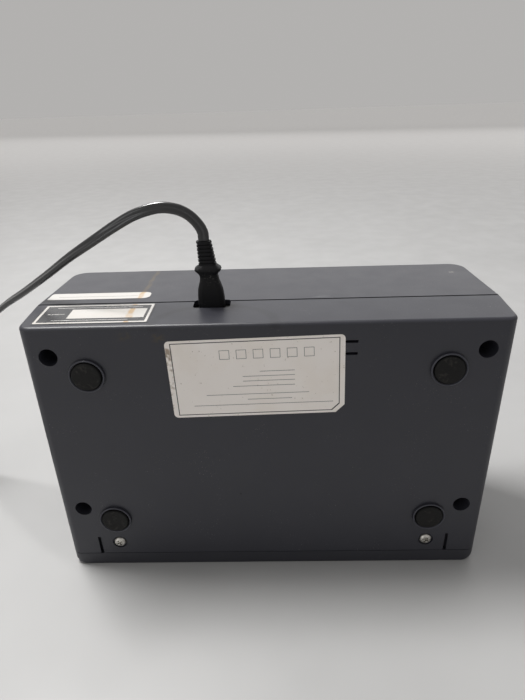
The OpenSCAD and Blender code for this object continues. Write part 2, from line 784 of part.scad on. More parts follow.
module nozzle_nuts() {
    color(steel) for (x = nozzle_xs) translate([x, bay_at.y, 0]) difference() {
        translate([0, 0, bay_back + bay_wall + touch]) cylinder(r = nut_r, h = nut_t - touch, $fn = 6);
        rod_z(thread_r + running, bay_back, nozzle_tail_z + 1);
    }
}

// ---------------------------------------------------------------- mains

module inlet_socket() {
    color(cord_black) translate(inlet_at) difference() {
        union() {
            block([-inlet_size.x / 2, -inlet_size.y / 2, inlet_back],
                [inlet_size.x / 2, inlet_size.y / 2, inlet_mouth]);
            for (s = [-1, 1]) translate([s * inlet_pin_gap / 2, 0, inlet_back])
                block([-2, -0.4, -inlet_tab_len], [2, 0.4, eps]);
        }
        translate([0, 0, inlet_mouth - nose_len - 1]) linear_extrude(nose_len + 2)
            polygon(oval(inlet_nose.x + 2 * fit, inlet_nose.y + 2 * fit, 12));
        for (s = [-1, 1]) translate([s * inlet_pin_gap / 2, 0, inlet_mouth])
            rod_z(inlet_pin_r + touch, -nose_len - 5, 0);
    }
}

module inlet_pins() {
    color(zinc) for (s = [-1, 1]) translate([inlet_at.x + s * inlet_pin_gap / 2, inlet_at.y, 0])
        rod_z(inlet_pin_r, inlet_mouth - nose_len - 4.9, inlet_mouth - 3);
}

module power_board() {
    top = board_y + board_t;
    color(board_green) difference() {
        block([board_x[0], board_y, board_z[0]], [board_x[1], top, board_z[1]]);
        for (x = [board_x[0] + board_post_in, board_x[1] - board_post_in],
                z = [board_z[0] + board_post_in, board_z[1] - board_post_in])
            translate([x, 0, z]) rod_y(1.4, board_y - 1, top + 1);
    }
    color("#3b6e9e") translate([board_x[0] + 16, 0, board_z[0] + 12]) rod_y(6, top - eps, top + 14);
    color("#2b8a57")
        block([board_x[1] - 11, top - eps, board_z[0] + 7], [board_x[1] - 1, top + 10, board_z[0] + 23]);
    color(cord_black)
        block([board_x[0] + 25, top - eps, board_z[0] + 3], [board_x[1] - 16, top + 12, board_z[0] + 16]);
    color(zinc) for (s = [-1, 1]) translate([fuse_at.x + s * 8, 0, fuse_at.z]) difference() {
        block([-1.5, top - eps, -4], [1.5, fuse_at.y + 1, 4]);
        translate([0, fuse_at.y, 0]) rod_x(fuse_r + running, -2, 2);
    }
}

module board_screws() {
    color(zinc) for (x = [board_x[0] + board_post_in, board_x[1] - board_post_in],
            z = [board_z[0] + board_post_in, board_z[1] - board_post_in])
        translate([x, board_y + board_t + 2 + touch, z]) {
            rod_y(2.8, -2, 0);
            rod_y(1.1, -2 - board_t - 4, -1);
        }
}

module fuse() {
    color("#cfd6d8") translate(fuse_at) rod_x(fuse_r - 0.3, -9.9, 9.9);
    color(zinc) translate(fuse_at) {
        rod_x(fuse_r, -10, -5);
        rod_x(fuse_r, 5, 10);
    }
}

// A thin insulated wire along a smooth path
module wire(points) {
    path = smooth(points, 3);
    outline = [for (k = [0:5]) [cos(60 * k), sin(60 * k)]];
    loft(tube_rings(path, [for (p = path) [0.3, 1, 0.2]], outline));
}

module wiring() {
    top = board_y + board_t;
    clamp = [board_x[1] - 1 + touch, top + 5, board_z[0] + 10];
    tab = [inlet_at.x, inlet_at.y, inlet_back - inlet_tab_len - touch];
    left_tab = tab - [inlet_pin_gap / 2, 0, 0];
    right_tab = tab + [inlet_pin_gap / 2, 0, 0];
    terminal = [rocker_at.x, rocker_at.y + 8, rocker_back + 7 + touch];
    choke = [board_x[0] + 16, top + 14 + touch, board_z[0] + 12];
    pump = [comp_at.x - comp_size.x / 2 - touch, comp_y + 8, comp_at.y + comp_size.z / 2 - 6];
    color("#6b4a2a") wire([left_tab, left_tab - [0, 0, 5], left_tab - [1.8, 7, 8], clamp + [6, 0, 0], clamp]);
    color("#27508a") wire([right_tab, right_tab - [0, 0, 5], right_tab - [2.5, 8, 13],
        clamp + [9, 1, 5], clamp + [4, 0, 5], clamp + [0, 0, 5]]);
    color("#202022") wire([terminal, terminal + [0, 0, 5], terminal + [-8, -6, 25],
        [valve_at.x - valve_r - 14, valve_y + 36, valve_at.y - 2],
        [valve_at.x - valve_r - 6, valve_y + 18, board_z[0] - 4], choke + [0, 8, 0], choke]);
    color("#e8e4da") wire([clamp + [0, 0, 9], clamp + [5, 0, 9], clamp + [21, -4.6, 0], pump + [-36, -12, 2],
        pump + [-12, -2, 2], pump + [-5, 0, 0], pump]);
}

// ---------------------------------------------------------------- compressor

module comp_place() {
    translate([comp_at.x, comp_axis_y, comp_at.y]) children();
}

module comp_outline(inset) {
    polygon(slab(comp_size.x - 2 * inset, comp_size.z - 2 * inset, 5 - inset));
}

module compressor_case() {
    half_y = comp_size.y / 2;
    inner_x = comp_size.x / 2 - comp_wall;
    color("#8f9397") comp_place() difference() {
        union() {
            difference() {
                rotate([90, 0, 0]) translate([0, 0, -half_y]) linear_extrude(comp_size.y) comp_outline(0);
                rotate([90, 0, 0]) translate([0, 0, -half_y - 1])
                    linear_extrude(comp_size.y - comp_wall + 1) comp_outline(comp_wall);
            }
            for (s = [0, 1]) mirror([s, 0, 0]) rod_x(rod_r + 4, inner_x - bush_len, inner_x + eps);
        }
        rod_x(rod_r + running, -comp_size.x, comp_size.x);
    }
}

module compressor_lid() {
    color("#a7abae") comp_place() translate([0, comp_size.y / 2 + touch, 0]) {
        rotate([90, 0, 0]) translate([0, 0, -comp_wall]) linear_extrude(comp_wall) comp_outline(0);
        for (x = [-24:12:24])
            block([x - 1, comp_wall - eps, 8 - comp_size.z / 2], [x + 1, comp_wall + 3, comp_size.z / 2 - 8]);
    }
}

module compressor_heads() {
    start = comp_size.x / 2 + diaphragm_t + touch;
    color("#6f7377") comp_place() for (s = [0, 1]) mirror([s, 0, 0]) difference() {
        union() {
            rod_x(head_r, start, start + head_t);
            for (a = [45:90:315]) rotate([a, 0, 0]) translate([start, head_r - 1, 0]) rod_x(4, 0, head_t - 3);
            translate([head_port_x, 0, 0]) rod_z(stub_r, -head_r - stub_len, -head_r + 4);
        }
        rod_x(plate_r + 3, start - 1, start + 7);
        translate([head_port_x, 0, 0]) rod_z(stub_r - 1, -head_r - stub_len - 1, 0);
    }
}

module compressor_diaphragms() {
    start = comp_size.x / 2 + touch / 2;
    color(rubber_black) comp_place() for (s = [0, 1]) mirror([s, 0, 0]) difference() {
        rod_x(head_r - 2, start, start + diaphragm_t);
        rod_x(rod_r + fit, start - 1, start + diaphragm_t + 1);
    }
}

module compressor_armature() {
    arm_x = comp_size.x / 2;
    plate_x = arm_x + diaphragm_t + stroke + 0.4;
    color(steel) comp_place() {
        block([-28, -11, -13], [28, 11, 13]);
        rod_x(rod_r, -arm_x - 6, arm_x + 6);
        for (s = [0, 1]) mirror([s, 0, 0]) rod_x(plate_r, plate_x, plate_x + 2.2);
    }
}

module compressor_coils() {
    inner = 13 + 1.2;
    outer = comp_size.z / 2 - comp_wall - touch;
    color("#7c4a2d") comp_place() for (s = [0, 1]) mirror([0, 0, s]) {
        block([-30, -18, outer - 7], [30, 18, outer]);
        block([-6, -14, inner], [6, 14, outer - 6]);
        for (x = [-28, 22]) block([x, -14, inner], [x + 6, 14, outer - 6]);
        block([-14, -16, inner + 2], [14, 16, outer - 7 + eps]);
        block([-10, -comp_size.y / 2 + comp_wall + touch, outer - 6], [10, -17, outer - 1]);
    }
}

module compressor_mounts() {
    h = comp_y - floor_y;
    color(rubber_black) for (x = [-mount_x, mount_x], z = [-mount_z, mount_z])
        translate([comp_at.x + x, floor_y, comp_at.y + z]) rotate([-90, 0, 0]) difference() {
            rotate_extrude() polygon([[0, touch], [mount_r, touch], [mount_r, 2], [mount_r - 1.6, h / 2],
                [mount_r, h - 2], [mount_r, h - touch], [0, h - touch]]);
            translate([0, 0, -1]) cylinder(r = 3 + touch, h = 5 + touch);
        }
}

// ---------------------------------------------------------------- rotary valve

module valve_place() {
    translate([valve_at.x, valve_y, valve_at.y]) children();
}

module valve_motor() {
    color(steel) valve_place() difference() {
        union() {
            rod_y(motor_r, touch - motor_h, -touch);
            for (s = [-1, 1]) rotate([0, 45 * s, 0])
                block([-motor_r - 8, -2 - touch, -5], [motor_r + 8, -touch, 5]);
        }
        rod_y(rotor_shaft_r + running, -10, 1);
    }
}

module valve_body() {
    color(nylon) valve_place() difference() {
        union() {
            rod_y(valve_r, 0, valve_h);
            block([-26, 2, -32], [26, 14, -14]);
            for (i = [0:3]) translate([(1.5 - i) * rail_pitch, 8, 0]) rod_z(stub_r, -32 - stub_len, -31);
        }
        rod_y(rotor_r + 0.4, valve_floor, valve_h + 1);
        rod_y(rotor_shaft_r + running, -1, valve_h);
        for (i = [0:3]) translate([(1.5 - i) * rail_pitch, 8, 0]) rod_z(stub_r - 1, -33 - stub_len, -20);
    }
}

module valve_rotor() {
    color("#5f6367") valve_place() difference() {
        union() {
            rod_y(rotor_r, valve_floor + touch, valve_floor + touch + rotor_h);
            rod_y(rotor_shaft_r, -9.8, valve_floor + 1);
            rod_y(6, valve_floor + rotor_h, valve_h - touch);
        }
        for (a = [0:30:90]) rotate([0, a, 0]) translate([0, 0, -rotor_r + 6]) rod_y(2.2, 0, valve_h);
    }
}

module valve_cap() {
    color(nylon) valve_place() difference() {
        union() {
            rod_y(valve_r, valve_h + touch, valve_h + cap_t);
            rod_y(stub_r, valve_h + cap_t - eps, valve_h + cap_t + stub_len);
            for (a = [30:60:330]) rotate([0, a, 0]) translate([valve_r - 2.5, 0, 0])
                rod_y(2.2, valve_h + cap_t - eps, valve_h + cap_t + 1.6);
        }
        rod_y(stub_r - 1, valve_h - 1, valve_h + cap_t + stub_len + 1);
    }
}

// ---------------------------------------------------------------- inner hoses

// A soft hose along a smooth path, its ends bored to push onto stubs
module hose(points, end_dirs) {
    path = smooth(points, 3);
    outline = [for (k = [0:7]) hose_r * [cos(45 * k), sin(45 * k)]];
    last = len(points) - 1;
    difference() {
        loft(tube_rings(path, [for (p = path) [1, 0.35, 0.15]], outline));
        for (e = [0, 1]) translate(points[e * last]) multmatrix(end_dirs[e])
            translate([0, 0, -1]) cylinder(r = stub_r + running, h = stub_len + 1);
    }
}

// Turns that point a hose end's bore along +Z, -Z or +Y
into_up = [[1, 0, 0, 0], [0, 1, 0, 0], [0, 0, 1, 0], [0, 0, 0, 1]];
into_down = [[1, 0, 0, 0], [0, -1, 0, 0], [0, 0, -1, 0], [0, 0, 0, 1]];
into_cover = [[1, 0, 0, 0], [0, 0, 1, 0], [0, -1, 0, 0], [0, 0, 0, 1]];

module pressure_hoses() {
    stub_z = reg_back + touch;
    head_z = comp_at.y - head_r - touch;
    mid_z = (stub_z + head_z) / 2;
    left = [comp_at.x - head_port_x, comp_axis_y];
    right = [comp_at.x + head_port_x, comp_axis_y];
    a = [knob_at.x + reg_stub, knob_at.y - reg_stub];
    b = [knob_at.x - reg_stub, knob_at.y - reg_stub];
    d = [knob_at.x + reg_stub, knob_at.y + reg_stub];
    color(clear_hose) {
        hose([[a.x, a.y, stub_z], [a.x, a.y, stub_z + 10], [(a.x + left.x) / 2, (a.y + left.y) / 2, mid_z],
            [left.x, left.y, head_z - 10], [left.x, left.y, head_z]], [into_up, into_down]);
        hose([[b.x, b.y, stub_z], [b.x, b.y, stub_z + 10], [b.x, b.y - 12, stub_z + 16],
            [comp_at.x - 40, floor_y + 16, comp_front - 10], [comp_at.x - 12, floor_y + 13, comp_front - 8],
            [comp_at.x + 26, floor_y + 15, comp_front - 7], [right.x - 6, floor_y + 24, comp_front - 6],
            [right.x, right.y, head_z - 10], [right.x, right.y, head_z]], [into_up, into_down]);
        hose([[d.x, d.y, stub_z], [d.x, d.y, stub_z + 10], [d.x + 10, d.y + 2, stub_z + 16],
            [gauge_at.x - 12, gauge_at.y + 6, stub_z + 16], [gauge_at.x, gauge_at.y, gauge_back + 14],
            [gauge_at.x, gauge_at.y, gauge_back + touch]], [into_up, into_up]);
    }
}

module supply_hose() {
    c = [knob_at.x - reg_stub, knob_at.y + reg_stub];
    top = valve_y + valve_h + cap_t;
    color(clear_hose) hose([[c.x, c.y, reg_back + touch], [c.x, c.y, reg_back + stub_len + 3],
        [c.x - 15, c.y + 4, valve_at.y - 32], [c.x - 50, c.y + 8, valve_at.y - 12],
        [valve_at.x + 10, top + 24, valve_at.y - 2], [valve_at.x, top + 18, valve_at.y],
        [valve_at.x, top + touch, valve_at.y]], [into_up, into_cover]);
}

module outlet_hoses() {
    z0 = nozzle_tail_z + touch;
    z1 = rail_z - touch;
    y1 = valve_y + 8;
    color(clear_hose) for (i = [0:3]) {
        x0 = nozzle_xs[i];
        x1 = valve_at.x + (1.5 - i) * rail_pitch;
        hose([[x0, bay_at.y, z0], [x0, bay_at.y, z0 + 10],
            [(x0 + x1) / 2, (bay_at.y + y1) / 2, (z0 + z1) / 2], [x1, y1, z1 - 10], [x1, y1, z1]],
            [into_up, into_down]);
    }
}

// ---------------------------------------------------------------- cord

// Where the flat cord leaves the strain relief, and each point with the way its width lies
exit_at = [-33.9, -4, 221];
lead_route = [
    [exit_at, [1, 0, 0]], [exit_at + [0, 0, 4], [1, 0, 0]], [[-36, -4, 230], [1, 0, 0.4]],
    [[-41, -4, 235.5], [1, 0, 0.8]], [[-48, -4, 239], [0.6, 0, 1]], [[-58, -4, 240], [0, 0, 1]],
    [[-71, -4, 236.7], [0, 0.1, 1]], [[-83.5, -3, 230.4], [0, 0.3, 1]], [[-98.5, -1, 221.5], [0, 0.6, 1]],
    [[-115, 2, 211.5], [0, 0.9, 0.9]], [[-132, 6, 200], [0, 1, 0.7]], [[-150.5, 12, 188], [0, 1, 0.5]],
    [[-170, 20, 176], [0, 1, 0.3]], [[-189, 29, 162], [0, 1, 0.1]], [[-206, 38, 145], [0, 1, 0]],
    [[-220, 46, 123], [0, 1, 0]], [[-231, 52, 99], [0, 1, 0]], [[-239, 57, 73], [0, 1, 0]],
    [[-246, 61, 48], [0, 1, 0]], [[-253, 64, 26], [0, 1, 0.1]], [[-261, 66, 11.5], [0, 1, 0.4]],
    [[-271, 66.5, 5], [0, 0.9, 1]]];
coil_at = [-290, 26];
coil_z = 1 + cord_w / 2;
tail_route = [
    [[-314, 64, 10], [0, 0.3, 1]], [[-325, 58.5, 8], [-0.3, 0.6, 1]], [[-334, 50, 6.3], [-0.8, 0.6, 0.9]],
    [[-339.5, 39, 5.6], [-1, 0.1, 0.5]], [[-342, 27, 6.4], [-1, 0, 0.1]]];
plug_at = [-342, 14, 7.5];
plug_size = [24, 26, 15];
plug_relief_len = 20;

// The cord's flat oval, inscribed with six or more corners
function cord_outline(n) = [for (k = [0:n - 1]) let (a = 360 * k / n, s = sin(a), c = cos(a))
    [c * cord_t / 2 + (abs(c) < 0.01 ? 0 : sign(c)) * (cord_w - cord_t) / 2, s * cord_t / 2]];

module cord_piece(points, n) {
    loft(tube_rings(smooth([for (q = points) q[0]], 2), smooth([for (q = points) q[1]], 2), cord_outline(n)));
}

// The coil spirals in on the floor, climbs a layer over half a turn, and spirals out above
coil_rise = cord_w + coil_layer_gap;
function coil_point(u) = let (
    turn = abs(u - coil_turns),
    r = coil_r - coil_pitch * (coil_turns - turn),
    climb = min(max((u - coil_turns + 0.25) * 2, 0), 1),
    a = 90 + 360 * u)
    [coil_at.x + r * cos(a), coil_at.y + r * sin(a), coil_z + coil_rise * (1 - cos(180 * climb)) / 2];
coil_steps = 24;
coil_count = 2 * coil_turns * coil_steps;
coil_path = [for (i = [0:coil_count]) coil_point(i / coil_steps)];
coil_start = [coil_at.x + cord_w, coil_at.y + coil_r, coil_z];
coil_end = [coil_at.x - cord_w, coil_at.y + coil_r, coil_z + coil_rise];

// Least clear distance between two turns, each taken as the flat oval that stands on edge
function oval_gap(p, q) = let (d = p - q, up = max(abs(d.z) - (cord_w - cord_t), 0))
    norm([d.x, d.y, up]) - cord_t;
coil_gap = min([for (i = [0:coil_count], j = [i + coil_steps / 2:coil_count])
    oval_gap(coil_path[i], coil_path[j])]);
echo(least_gap_between_the_coils_turns_mm = coil_gap);  // cord_coil

module cord_coil() {
    path = concat([coil_start], coil_path, [coil_end]);
    t0 = tangents(path);
    t = [for (i = [0:len(path) - 1]) (i < 2 || i > len(path) - 3) ? [-1, 0, 0] : t0[i]];
    color(cord_black) loft([for (i = [0:len(path) - 1]) ring(path[i], t[i], [0, 0, 1], cord_outline(6))]);
}

module cord_lead() {
    color(cord_black) cord_piece(concat(lead_route,
        [[coil_start + [cord_w, 0, 0], [0, 0, 1]], [coil_start, [0, 0, 1]]]), 10);
}

module cord_tail() {
    color(cord_black) cord_piece(concat([[coil_end, [0, 0, 1]], [coil_end - [cord_w, 0, 0], [0, 0, 1]]],
        tail_route, [[plug_at + [0, 4, 0], [-1, 0, 0]], [plug_at, [-1, 0, 0]]]), 10);
}

module cord_tie() {
    angle = 225;
    band_w = 8;
    band_t = 0.8;
    r0 = coil_r - coil_pitch * coil_turns - cord_t / 2 - touch;
    r1 = coil_r + cord_t / 2 + touch;
    z1 = coil_z + coil_rise + cord_w / 2 + touch;
    color("#2a2a2c") translate([coil_at.x, coil_at.y, 0]) rotate(angle) difference() {
        block([r0 - band_t, -band_w / 2, touch], [r1 + band_t, band_w / 2, z1 + band_t]);
        block([r0, -band_w, touch + band_t], [r1, band_w, z1]);
    }
}

// Moulded two-pole connector: its nose is in the inlet, its waist and flange stand clear of the rear face
module cord_connector() {
    nose_gap = 0.4;
    stations = [[-3.9, 15, 9.2], [-2.4, 15.7, 9.6], [3.4, 15.6, 9.6], [6.6, 15.2, 9.5], [9.6, 14.4, 9.3],
        [12.3, 13, 9], [14.6, 11.3, 8.6], [waist_z, 10.6, 8.4]];
    color(cord_black) translate([inlet_at.x, inlet_at.y, 0]) difference() {
        union() {
            loft([for (s = stations) let (lean = -0.4 * max(s[0], 0) / waist_z)
                [for (p = slab(s[1], s[2], s[2] * 0.34)) [p.x + lean, p.y, case_d + s[0]]]]);
            translate([0, 0, inlet_mouth - nose_len + nose_gap])
                linear_extrude(nose_len) polygon(oval(inlet_nose.x, inlet_nose.y, 12));
        }
        for (x = [-1, 1]) translate([x * inlet_pin_gap / 2, 0, inlet_mouth])
            rod_z(inlet_pin_r + touch, -nose_len - 1, -2.5);
    }
}

// Flanged and tapered boot, with ribs that lean with the cord
module strain_relief() {
    flange = [[waist_z + touch, 10.6, 8.4], [18.6, 10.8, 8.4], [19.8, 12.6, 9.4], [20.8, 14.8, 10.4],
        [21.6, 15.4, 10.8], [22.4, 15, 10.5], [23.3, 12.4, 9.2]];
    lean = -0.8;
    ribs = 6;
    rib_start = case_d + 24.3;
    rib_pitch = (exit_at.z - touch / 2 - rib_start) / (ribs + 0.5);
    function boot(z, grow) = let (u = (z - rib_start) / (exit_at.z - rib_start))
        [for (p = slab(10.1 - 1.5 * u + grow, 7.6 - 1.7 * u + grow, 2.4))
            [p.x + inlet_at.x + lean + (exit_at.x - inlet_at.x - lean) * u, p.y + inlet_at.y, z]];
    color(cord_black) loft(concat(
        [for (s = flange) [for (p = slab(s[1], s[2], s[2] * 0.34))
            [p.x + inlet_at.x + lean * min((s[0] - waist_z) / 3 + 0.5, 1), p.y + inlet_at.y, case_d + s[0]]]],
        [for (k = [0:ribs], part = [0:(k < ribs ? 3 : 1)])
            boot(rib_start + (k + [0, 0.5, 0.55, 0.95][part]) * rib_pitch, part < 2 ? 0 : -1.3)]));
}

module wall_plug() {
    r = 4;
    y1 = plug_at.y - plug_relief_len;
    rings = [[0, 0.55, 0.7], [1.5, 0.62, 0.8], [7, 0.9, 1], [11, 1, 1], [plug_size.y - 1.2, 1, 1],
        [plug_size.y, 0.93, 0.9]];
    color(cord_black) translate([plug_at.x, y1 - touch, plug_at.z]) rotate([90, 0, 0])
        loft([for (s = rings) raised(slab(plug_size.x * s[1], plug_size.z * s[2], r * s[2]), s[0])]);
}

module plug_relief() {
    n = 5;
    color(cord_black) translate([plug_at.x, plug_at.y - plug_relief_len, plug_at.z]) rotate([-90, 0, 0])
        loft([for (k = [0:n - 1], part = [0:3]) let (
            u = (k + [0, 0.5, 0.55, 0.95][part]) / n, grow = part < 2 ? 0 : -1.2)
            raised(slab(11 - 3.4 * u + grow, 8.6 - 3.6 * u + grow, 1.9), u * plug_relief_len / 0.99)]);
}

module plug_blades() {
    y0 = plug_at.y - plug_relief_len - plug_size.y - touch;
    color("#c9b26a") for (s = [-1, 1]) translate([plug_at.x + s * 6.35, 0, plug_at.z]) difference() {
        block([-0.75, y0 - 16, -3.15], [0.75, y0 - touch, 3.15]);
        translate([0, y0 - 12.5, 0]) rod_x(1.6, -2, 2);
    }
}

// ---------------------------------------------------------------- assembly

module placed() {
    translate([0, parting_y, 0]) children();
}

placed() base_shell();
placed() top_cover();
placed() front_bezel();
placed() fascia();
placed() foot_rear_left();
placed() foot_rear_right();
placed() foot_front_left();
placed() foot_front_right();
placed() case_screws();
placed() bezel_screws();
placed() rocker_frame();
placed() power_rocker();
placed() pressure_knob();
placed() regulator_stem();
placed() regulator_body();
placed() gauge_case();
placed() gauge_dial();
placed() gauge_needle();
placed() gauge_lens();
placed() run_button();
placed() hold_button();
placed() run_spring();
placed() hold_spring();
placed() button_board();
placed() indicator_lamps();
placed() nozzle_1();
placed() nozzle_2();
placed() nozzle_3();
placed() nozzle_4();
placed() nozzle_nuts();
placed() inlet_socket();
placed() inlet_pins();
placed() power_board();
placed() board_screws();
placed() fuse();
placed() wiring();
placed() compressor_case();
placed() compressor_lid();
placed() compressor_heads();
placed() compressor_coils();
placed() compressor_armature();
placed() compressor_diaphragms();
placed() compressor_mounts();
placed() valve_motor();
placed() valve_body();
placed() valve_rotor();
placed() valve_cap();
placed() pressure_hoses();
placed() supply_hose();
placed() outlet_hoses();
placed() cord_connector();
placed() strain_relief();
placed() cord_lead();
placed() cord_coil();
placed() cord_tail();
placed() cord_tie();
placed() wall_plug();
placed() plug_relief();
placed() plug_blades();
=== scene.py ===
"""Looks of a compression therapy pump that stands on its front rim, with its mains cord.

Lengths in the tables are in millimetres, with y counted from the case's parting plane.
"""

import math

import bpy
import numpy as np
from mathutils import Matrix, Vector


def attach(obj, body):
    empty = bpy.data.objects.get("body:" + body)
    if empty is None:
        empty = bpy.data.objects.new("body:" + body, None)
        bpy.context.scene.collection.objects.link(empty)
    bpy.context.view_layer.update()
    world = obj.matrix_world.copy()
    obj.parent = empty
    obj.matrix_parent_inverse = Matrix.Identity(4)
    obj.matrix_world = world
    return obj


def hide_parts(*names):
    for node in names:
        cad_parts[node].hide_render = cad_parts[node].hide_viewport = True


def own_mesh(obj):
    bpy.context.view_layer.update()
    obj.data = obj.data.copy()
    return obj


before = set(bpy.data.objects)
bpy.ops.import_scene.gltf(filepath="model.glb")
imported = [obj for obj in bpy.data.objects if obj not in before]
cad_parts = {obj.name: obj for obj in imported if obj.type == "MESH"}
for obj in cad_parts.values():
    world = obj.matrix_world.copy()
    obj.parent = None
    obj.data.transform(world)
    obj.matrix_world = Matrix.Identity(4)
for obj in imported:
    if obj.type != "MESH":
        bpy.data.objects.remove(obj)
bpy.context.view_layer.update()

MM = 0.001
PARTING_Y = -16.75
CASE_D = 183
# Lean of the two rear faces: how far each goes in over its height
BASE_LEAN = 1.2 / 33
COVER_LEAN = -1.5 / 69
# Heights of a label's film and of the print on it, above the face below them
FILM = (0.02, 0.14)
PRINT = (0.13, 0.155)


def at(x, y, z):
    """A point of the tables in the row's frame, in metres."""
    return Vector((x, y + PARTING_Y, z)) * MM


# ---------------------------------------------------------------- camera

FOCAL_PX, PICTURE_H, SENSOR = 528.26, 700, 36
camera = bpy.data.objects.new("camera", bpy.data.cameras.new("camera"))
bpy.context.scene.collection.objects.link(camera)
camera.data.sensor_fit = "VERTICAL"
camera.data.sensor_width = camera.data.sensor_height = SENSOR
camera.data.lens = SENSOR * FOCAL_PX / PICTURE_H
camera.data.clip_start = 0.01
camera.data.clip_end = 60
CAMERA_AXES = (
    Vector((0.99940, 0.01628, -0.03051)),
    Vector((0.02017, 0.44227, 0.89665)),
    Vector((0.02809, -0.89673, 0.44168)),
)
camera.matrix_world = (
    Matrix.Translation(at(6.532, -298.919, 296.560))
    @ Matrix(CAMERA_AXES).transposed().to_4x4()
)
bpy.context.scene.camera = camera

# ---------------------------------------------------------------- meshes


def mesh_piece(name, points, faces, finish, smooth=False, body="housing"):
    """A mesh whose points are in the row's frame, in metres, riding on a body."""
    mesh = bpy.data.meshes.new(name)
    mesh.from_pydata([tuple(p) for p in points], [], faces)
    mesh.validate()
    for f in mesh.polygons:
        f.use_smooth = smooth
    for one in finish if isinstance(finish, (list, tuple)) else [finish]:
        mesh.materials.append(one)
    made = bpy.data.objects.new(name, mesh)
    bpy.context.scene.collection.objects.link(made)
    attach(made, body)
    return made


def loft(rings):
    """Points and faces of a closed solid through rings of equally many points."""
    n = len(rings[0])
    points = [p for ring in rings for p in ring]
    faces = [tuple(range(n))[::-1]]
    for j in range(len(rings) - 1):
        for i in range(n):
            k = (i + 1) % n
            faces.append((j * n + i, j * n + k, (j + 1) * n + k, (j + 1) * n + i))
    last = (len(rings) - 1) * n
    faces.append(tuple(range(last, last + n)))
    return points, faces


def arc(cx, cy, r, a0, a1, n):
    return [
        (
            cx + r * math.cos(math.radians(a0 + (a1 - a0) * i / n)),
            cy + r * math.sin(math.radians(a0 + (a1 - a0) * i / n)),
        )
        for i in range(n + 1)
    ]


def rounded(x0, y0, x1, y1, r, n=5):
    """Outline of a rounded rectangle, counter-clockwise."""
    return (
        arc(x1 - r, y1 - r, r, 0, 90, n)
        + arc(x0 + r, y1 - r, r, 90, 180, n)
        + arc(x0 + r, y0 + r, r, 180, 270, n)
        + arc(x1 - r, y0 + r, r, 270, 360, n)
    )


def band_faces(n):
    """Faces of a closed frame whose cross-section has four corners, n points to a ring."""
    return [
        (j * n + i, j * n + (i + 1) % n, (j + 1) % 4 * n + (i + 1) % n, (j + 1) % 4 * n + i)
        for j in range(4)
        for i in range(n)
    ]


class Sheet:
    """A plane of print: u to the right, v up, and out of the surface."""

    def __init__(self, origin, u, v):
        self.origin, self.u, self.v = Vector(origin), Vector(u).normalized(), Vector(v).normalized()
        self.out = self.u.cross(self.v)

    def point(self, u, v, w):
        return self.origin + (u * self.u + v * self.v + w * self.out) * MM

    def prism(self, outline, w0, w1):
        """Points and faces of a flat piece between two heights above the plane."""
        return loft([[self.point(u, v, w) for u, v in outline] for w in (w0, w1)])

    def band(self, outer, inner, w0, w1):
        """Points and faces of a flat frame between two outlines of equally many points."""
        rings = [(inner, w0), (outer, w0), (outer, w1), (inner, w1)]
        return [self.point(u, v, w) for ring, w in rings for u, v in ring], band_faces(len(outer))


def joined(parts):
    """Several points-and-faces pairs as one."""
    points, faces = [], []
    for p, f in parts:
        faces += [tuple(i + len(points) for i in one) for one in f]
        points += p
    return points, faces


def box_outline(x0, y0, x1, y1):
    return [(x1, y1), (x0, y1), (x0, y0), (x1, y0)]


# ---------------------------------------------------------------- finishes


